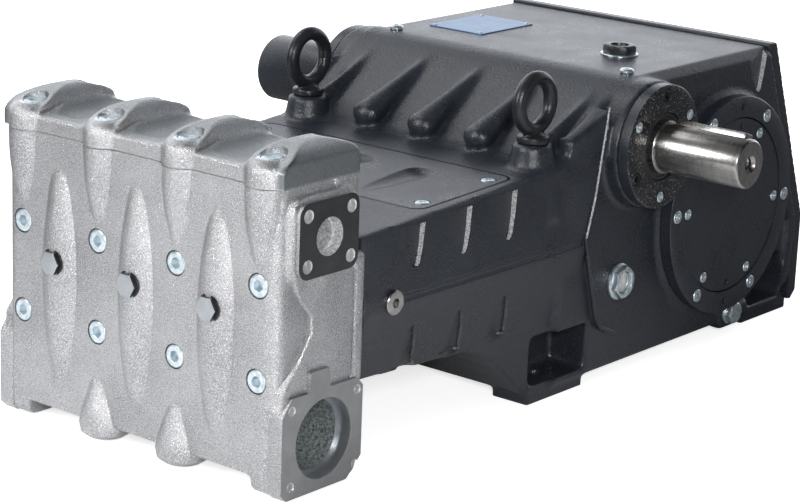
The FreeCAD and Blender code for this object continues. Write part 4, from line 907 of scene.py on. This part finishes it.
def crankcase():
    """The black casting, softened, with a crisp seat for the plate, grooves and slanted scoops, and painted
    highlights on the scoops' walls and the upper crease.
    """
    room = block("room", (-181, 181), (-83, 83), (-11, 0))
    room.data.transform(ON_DECK)
    casting = from_node("crankcase", "casting")
    carved(casting, [plate("bank_room", SHOULDER + [(-85, 460), (-262, 460)], 0, -195.5, 177)])
    boss_room = [(-300, 262.2)] + SHOULDER[:3] + [(-226, 277), (-226, 460), (-300, 460)]
    carved(casting, [plate("boss_room", boss_room, 0, -199, 199)])
    forms = [casting, room] + flank_fillers() + shoulder_forms()
    pocket = [(133, 150), (133, 331), (168, 331), (246, 150)]
    forms += [plate("pocket_filler", pocket, 0, *span(sign, 180, 195)) for sign in OUT]
    case = cast(forms, "crankcase_casting", 3.0, 5)
    bosses = [Vector(eye_seat(side)[:2]) for side in SIDES]
    zone_softened(case, lambda p: -222 < p.y < -95 and p.z > 262 and abs(p.x) < 186
                  and min((p.xy - boss).length for boss in bosses) > 34, 24)
    zone_softened(case, lambda p: -280 < p.y < -215 and p.z > 262 and abs(p.x) < 120, 2)
    zone_softened(case, lambda p: -262 < p.y < -180 and 264 < p.z < 325 and abs(p.x) > 178, 16)
    apply(case, "DECIMATE", ratio=0.42)
    seat = block("seat", (-178.2, 178.2), (-82.2, 82.2), (-8, 30), 17, 2, 6)
    seat.data.transform(ON_DECK)
    carved(case, [seat] + flank_scoops())
    grooves = [turned("groove", [(5, 0), (5, 309)], (sign * 202.6, -508, 175.5), "+y", 32) for sign in OUT]
    for sign in OUT:
        scoop = plate("rear_scoop", REAR_SCOOP, 0, *span(sign, 195, 212))
        grooves.append(tilted(scoop, (sign * 195, 130, 300), sign * 9, "Z"))
    carved(case, grooves)
    merged(case, [cast(crease_bead(sign), "crease", 1.0, 2, 0.5) for sign in OUT])
    # Painted highlight: lighter finishes on the scoops' rear walls and the upper crease.
    return finish(case, "black_casting", "crankcase", angle=45,
                  others=(("painted_highlight_edge", painted_highlight_place), ("painted_dim_highlight_edge", painted_dim_highlight_place)))


def inspection_plate():
    """The plate set into the deck, with its three drop-shaped dishes and four screws."""
    lid = block("lid", (-177, 177), (-81, 81), (-7.6, 0.2), 16, 2, 6)
    eased(lid, 0.8, 2)
    for step in (-1, 0, 1):
        dish = turned("dish", [(20, -72), (26.8, -62), (28.8, -38), (30.6, -10), (31.8, 12), (32.4, 26), (32.2, 34),
                               (31, 40), (29, 44), (26.6, 46), (20, 47)], way="+y", sides=96)
        dish.data.transform(Matrix.Translation(mm(86 * step, 0, 26.6)))
        carved(lid, [dish])
    cast([lid], "inspection_plate", 1.5, 3, 0.5)
    lid.data.transform(ON_DECK)
    places = tops("inspection_cover_screws", "+z")
    carved(lid, [turned("bore", [(8.7, -6), (8.7, 20)], place) for place in places])
    finish(lid, "black_cover", "inspection_cover", angle=50)
    pattern = turned("plate_screw", [(7.6, -5), (8, -4.6), (8, -1.4), (7, -0.3), (5.6, 0)])
    screw_set("inspection_plate_screws", socket_cut(pattern, 3.6, 3), places, "+z", "inspection_cover_screws")


def rear_cover():
    """The cast cover at the back, softened, with its screws."""
    skirt = [(266, 60), (266, 14), (273, 10), (285, 21), (285, 60)]
    forms = [from_node("rear_cover", "cover"), plate("skirt", skirt, 0, -192, 192)]
    cover = cast(forms, "rear_cover_casting", 2.4, 4, 0.5)
    finish(cover, "black_cover", "rear_cover", angle=50)
    screw_set("rear_cover_screw_set", socket_screw("rear_screw", 8, 8, 4), tops("rear_cover_screws", "+y"), "+y",
              "rear_cover_screws")


def round_cover(name, node, profile, face, way, bore, places, jack, jack_radius, angles, more=()):
    """A turned cover on the crankshaft's axis, with screw bores and threaded jacking holes."""
    cover = turned(name, profile, (face, CRANK_Y, CRANK_Z), way, 128)
    cutters = list(more) + [turned("bore", bore, place, way, 32) for place in places]
    cutters += [turned("jack", jack, (face, CRANK_Y + jack_radius * math.cos(angle),
                                      CRANK_Z + jack_radius * math.sin(angle)), way, 24)
                for angle in map(math.radians, angles)]
    return finish(carved(cover, cutters), "black_cover", node)


def crank_covers():
    """The ring and cap over each end of the crankshaft."""
    for side, sign in SIDES.items():
        way = OUT[sign]
        face = sign * 214.5
        ring_screws = tops(f"crank_ring_screws_{side}", way)
        cap_screws = tops(f"crank_cap_screws_{side}", way)
        eye = turned("eye", [(104.9, -30), (104.9, -0.8), (105.8, 2)], (face, CRANK_Y, CRANK_Z), way, 128)
        round_cover(f"crank_ring_casting_{side}", f"crank_ring_{side}",
                    [(129.6, -14), (130, -13.6), (130, -1.2), (129.4, -0.4), (128.6, 0), (112, 0)], face, way,
                    [(8.8, -9), (8.8, 9)], ring_screws, [(3.4, -9), (3.4, -0.8), (4.4, 1)], 117, (86, -92), [eye])
        round_cover(f"crank_cap_casting_{side}", f"crank_cap_{side}",
                    [(103.6, -13), (104, -12.6), (104, -0.9), (103, 0), (90, 0)], face - sign, way,
                    [(7.3, -8), (7.3, 9)], cap_screws, [(3, -9), (3, -0.8), (4, 1)], 94, (84, -90))
        screw_set(f"crank_ring_screw_set_{side}", socket_screw("ring_screw", 8, 8, 4.2), ring_screws, way,
                  f"crank_ring_screws_{side}")
        screw_set(f"crank_cap_screw_set_{side}", socket_screw("cap_screw", 6.5, 7, 3.4), cap_screws, way,
                  f"crank_cap_screws_{side}")


def drive_end():
    """Bearing flanges, seal, the turned shaft with its key, and the cap on the far end."""
    for side, sign in SIDES.items():
        way = OUT[sign]
        centre = (sign * 228, SHAFT_Y, SHAFT_Z)
        screws = tops(f"bearing_flange_screws_{side}", way)
        flange = turned(f"bearing_flange_casting_{side}",
                        [(69.2, -14), (70, -13), (70, -1), (69.2, -0.3), (68.4, 0), (50, 0)], centre, way, 96)
        cutters = [turned("bore", [(7.3, -6.5), (7.3, 8)], place, way, 32) for place in screws]
        if sign > 0:
            seal_seat = [(31, -20), (31, -8.2), (38.4, -8), (38.4, -1), (39.6, 2)]
            cutters.append(turned("seal_seat", seal_seat, centre, way, 64))
        finish(carved(flange, cutters), "black_cover", f"bearing_flange_{side}",
               others=(("oiled_flange", lambda place, normal: normal.x > 0.6),))
        bright, dull = [], []
        for place in screws:
            across = abs(place[1] - SHAFT_Y)
            zinc = abs(across - 50.2) < 3 if place[2] > SHAFT_Z else across < 3 and place[2] < SHAFT_Z
            (bright if zinc else dull).append(place)
        screw_set(f"bearing_flange_screw_set_{side}", socket_screw("flange_screw", 6.5, 6, 3.4), bright, way,
                  f"bearing_flange_screws_{side}")
        screw_set(f"bearing_flange_plug_set_{side}", socket_screw("flange_plug", 6.5, 6, 4.2, 0.8), dull, way,
                  None, "black_steel")
    centre = (228, SHAFT_Y, SHAFT_Z)
    seal = turned("shaft_seal_ring", [(37.8, -8), (38, -7.6), (38, -2.6), (37.4, -2), (34.5, -2), (33.8, -3.4),
                                      (31.5, -3.4)], centre, "+x", 64)
    carved(seal, [turned("eye", [(30.35, -12), (30.35, -4), (31.2, 2)], centre, "+x", 64)])
    finish(seal, "black_rubber", "shaft_seal")
    cap = turned("far_end_cap", [(38.6, 0), (40, 1.2), (40, 118.5), (38.5, 121), (36.5, 122), (12, 122)],
                 (-228, SHAFT_Y, SHAFT_Z), "-x", 64)
    finish(cap, "black_cover", "shaft_end_cap")
    shaft = turned("turned_shaft", [(29.5, 150), (30, 150.5), (30, 232.2), (29.4, 233), (27.5, 233.4), (27.5, 337.6),
                                    (26.9, 338.8), (25.2, 340), (14, 340)], (0, SHAFT_Y, SHAFT_Z), "+x", 96)
    keyway = key_bar("keyway", 17, 11, 239.5, 330.5, 22.4)
    hole = turned("centre", [(5.6, -26), (5.6, -8), (7.2, -6.4), (7.2, -3.4), (10.2, -0.6), (10.8, 1)],
                  (340, SHAFT_Y, SHAFT_Z), "+x")
    carved(shaft, [keyway, hole])
    finish(shaft, "turned_steel", "drive_shaft", "shaft")
    key = eased(key_bar("shaft_key_bar", 15.9, 10, 240.2, 329.8, 22.5), 0.9, 2)
    finish(key, "turned_steel", "shaft_key", "shaft")


def key_bar(name, width, height, start, end, floor):
    """A key's bar on the floor of its keyway, turned with the shaft."""
    low = SHAFT_Z + floor
    bar = block(name, (start, end), (SHAFT_Y - width / 2, SHAFT_Y + width / 2), (low, low + height))
    return tilted(bar, (0, SHAFT_Y, SHAFT_Z), -20, "X")


def lifting_eyes():
    """Forged eye bolts on the shoulder bosses."""
    for side in SIDES:
        x, y, base = eye_seat(side)
        ring = primitive("eye_ring", bpy.ops.mesh.primitive_torus_add, major_radius=28 * MM,
                         minor_radius=7.8 * MM, major_segments=64, minor_segments=24,
                         location=mm(x, y, base + EYE_HEIGHT - 36), rotation=(0, math.radians(90), 0))
        neck = turned("neck", [(15.5, 4), (12.5, 8), (9, 12), (7, 16)], (x, y, base), sides=40)
        collar = turned("collar", [(17.2, 0.2), (18, 1), (18, 7), (17, 8.2), (14.5, 8.8), (10, 9.5)], (x, y, base))
        eye = cast([ring, neck, collar], f"eye_bolt_{side}", 1.3, 3, 0.6)
        finish(eye, "black_steel", f"lifting_eye_{side}", angle=60)


def oil_fittings():
    """Filler plug, sight glass and drain plug."""
    seat = (101, -6, CASE_TOP)
    washer = turned("filler_washer", [(21, 0), (22, 0.4), (22, 1.5), (21.4, 2)], seat, sides=64)
    finish(washer, "zinc_screw", "oil_filler_plug")
    head = hexagon("filler_hexagon", 19.2, 9.6, 7.0, [(22, 1), (19.5, 9.4), (17.2, 11.8), (14, 11.9)], seated(seat))
    carved(head, [turned("dish", [(9.5, 6.5), (10.5, 9), (11.2, 14)], seat)])
    finish(eased(head, 0.3, 1), "black_steel")
    finish(turned("filler_centre", [(9.3, 5.2), (9.3, 7.6), (8.2, 8.1), (3, 8.3)], seat), "grey_plug")

    seat = (195, -120.5, 115)
    ring = turned("sight_ring", [(20.4, 0), (21, 0.6), (21, 3), (19.5, 4.2), (17, 4.6)], seat, "+x", 64)
    nut = hexagon("sight_nut", 19.6, 6.8, 7.5, [(21, 3), (19, 9.2), (17.4, 10.9), (14, 11)], seated(seat, "+x"), 0.3)
    for part in (ring, nut):
        carved(part, [turned("eye", [(12.2, -4), (12.2, 7), (14, 13)], seat, "+x")])
    ring = joined([ring, eased(nut, 0.4, 2)], "sight_ring_nut")
    finish(ring, "zinc_screw", "sight_glass_ring")
    lens = turned("sight_window", [(11.6, 0.5), (11.6, 7), (10.4, 7.7), (6, 8), (2, 8)], seat, "+x")
    finish(lens, "window", "sight_glass_lens")

    seat = (195, 122, 28)
    washer = turned("drain_washer", [(14.4, 0), (15, 0.5), (15, 2.5), (14.2, 3)], seat, "+x")
    head = hexagon("drain_head", 13.6, 9.4, 7.2, [(17, 2), (13.8, 9.8), (11.8, 11.8), (9, 11.9)],
                   seated(seat, "+x"), 0.2, 48)
    drain = joined([washer, eased(head, 0.3, 1)], "drain_plug_head")
    finish(drain, "zinc_screw", "drain_plug")


def socket_pair(name, node, material, profile, socket, place, way=None):
    """A socket screw or plug on both sides, as one piece."""
    pair = []
    for sign in OUT:
        item = socket_cut(turned("socket_item", profile), *socket)
        item.data.transform(seated((sign * place[0], *place[1:]), way or OUT[sign]))
        pair.append(item)
    finish(joined(pair, name), material, node)


def small_parts():
    """Side plugs, top screws, name plate and its rivets."""
    socket_pair("side_plug_pair", "side_plugs", "turned_steel",
                [(12.6, -6), (13, -5.6), (13, -1.1), (12, -0.1), (10.6, 0)], (5.4, 4), (203, -526, 175.5))
    socket_pair("top_screw_pair", "top_screws", "zinc_screw",
                [(7.6, -5), (8, -4.6), (8, -2.2), (6.8, -0.6), (4.8, 0)], (3.2, 2.4), (167.4, -87, 350.5), "+z")
    low, high = (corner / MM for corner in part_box("name_plate"))
    label = block("blue_name_plate", (low.x, high.x), (low.y, high.y), (CASE_TOP, CASE_TOP + 1.2), 2.5, 2, 4)
    finish(eased(label, 0.25, 1), "blue_plate", "name_plate")
    rivets = [turned("rivet", [(2.5, -1.2), (2.5, -0.8), (2.0, -0.3), (1.2, 0)], place, sides=20)
              for place in tops("name_plate_rivets", "+z")]
    finish(joined(rivets, "name_plate_rivet_set"), "zinc_screw", "name_plate_rivets")


manifold_head()
valve_cover()
head_fasteners()
crankcase()
inspection_plate()
rear_cover()
crank_covers()
drive_end()
lifting_eyes()
oil_fittings()
small_parts()


SENSOR, FOCAL_PIXELS, PICTURE_WIDTH = 36, 2550.872, 800
CAMERA_OFFSET, GAUGE_ORIGIN = (-274.083, 289.039, 2620.879), (0, HEAD_FRONT, -81.5)


def photograph_camera():
    """The camera that took the photograph, from its solved angles and distance, in millimetres and pixels."""
    azimuth, elevation, roll = (math.radians(value) for value in (38.894, 15.638, 2.197))
    back = Vector((math.sin(azimuth) * math.cos(elevation), -math.cos(azimuth) * math.cos(elevation),
                   math.sin(elevation)))
    level = (-back).cross(Vector((0, 0, 1))).normalized()
    raised = level.cross(-back)
    right = math.cos(roll) * level + math.sin(roll) * raised
    up = -math.sin(roll) * level + math.cos(roll) * raised
    x, y, z = CAMERA_OFFSET
    eye = Vector(GAUGE_ORIGIN) - right * x + up * y + back * z
    data = bpy.data.cameras.new("photograph_camera")
    data.sensor_width = SENSOR
    data.lens = FOCAL_PIXELS * SENSOR / PICTURE_WIDTH
    data.clip_start, data.clip_end = 0.05, 60
    camera = bpy.data.objects.new("photograph_camera", data)
    turn = Matrix((right, up, back)).transposed().to_4x4()
    camera.matrix_world = Matrix.Translation(eye * MM) @ turn
    bpy.context.scene.collection.objects.link(camera)
    bpy.context.scene.camera = camera


def lamp(name, place, target, power, size, stretch=1.0):
    """A soft rectangular lamp that looks at a point, in metres."""
    data = bpy.data.lights.new(name, "AREA")
    data.shape = "RECTANGLE"
    data.size, data.size_y, data.energy = size, size * stretch, power
    item = bpy.data.objects.new(name, data)
    way = (Vector(target) - Vector(place)).to_track_quat("-Z", "Y")
    item.matrix_world = Matrix.Translation(place) @ way.to_matrix().to_4x4()
    bpy.context.scene.collection.objects.link(item)
    return item


def surround():
    """A white backdrop for the camera and for reflections, under a dimmer studio ceiling."""
    world = bpy.data.worlds.new("surround")
    bpy.context.scene.world = world
    sky = Finish("surround", world)
    way = sky.place("Generated")
    back = sky.vector("DOT_PRODUCT", way, (-0.60, 0.76, 0.1)).over(0.25, 0.75, 0.12, 1.85)
    height = sky.node("ShaderNodeSeparateXYZ", values={0: way}, out="Z")
    shown = back * height.over(0.3, 0.65, 1.0, 0.14)
    ambient = sky.vector("DOT_PRODUCT", way, (-0.62, -0.45, 0.64)).over(-0.5, 0.9, 0.05, 0.8)
    camera, glossy, passing = (sky.node("ShaderNodeLightPath", out=f"Is {kind} Ray")
                               for kind in ("Camera", "Glossy", "Transmission"))
    lit = ambient + (shown - ambient) * glossy.most(passing)
    seen = lit + (1.1 - lit) * camera
    light = sky.node("ShaderNodeBackground", values={"Color": (0.95, 0.98, 1.04), "Strength": seen})
    sky.node("ShaderNodeOutputWorld", values={0: light})


def pale_floor():
    """A wide pale floor: white to the camera but for the pump's shadow; to other rays, painted pools of light in
    front of the pump and by its right end, darker away from them.
    """
    floor = primitive("floor", bpy.ops.mesh.primitive_plane_add, size=24, location=(0, 0, 0))
    ground = Finish("floor")
    place = ground.place()
    camera = ground.node("ShaderNodeLightPath", out="Is Camera Ray")
    # Painted light: two pools of bright floor, in front of the pump and by its right end, seen only by rays other
    # than the camera's.
    from_front = ground.vector("DISTANCE", place, (0.1, -1.5, 0)).over(0.85, 1.25)
    from_end = ground.vector("DISTANCE", place, (0.55, -0.3, 0)).over(0.38, 0.56)
    tone = ground.mix(from_front.least(from_end) * (1 - camera), (0.9, 0.9, 0.9), (0.2, 0.2, 0.2))
    glow = camera * ground.vector("DISTANCE", place, (-0.2, -0.9, 0)).over(1.2, 2.2, 0.72, 1.05)
    floor.data.materials.append(ground.surface(
        Base_Color=tone, Roughness=0.9, Specular_IOR_Level=0.1, Emission_Color=(1, 1, 1), Emission_Strength=glow))


photograph_camera()
surround()
pale_floor()
lamp("key_lamp", (-0.9, -3.1, 1.7), (0, -0.35, 0.2), 54, 0.9, 1.2)
lamp("camera_lamp", (2.1, -2.4, 1.2), (0, -0.2, 0.2), 52, 0.36)
lamp("over_lamp", (-1.8, -0.3, 2.7), (0, -0.1, 0.3), 24, 1.8)
lamp("right_lamp", (3.3, 0.9, 0.15), (0.2, -0.4, 0.15), 2, 0.8)
bpy.context.scene.view_settings.view_transform = "Standard"
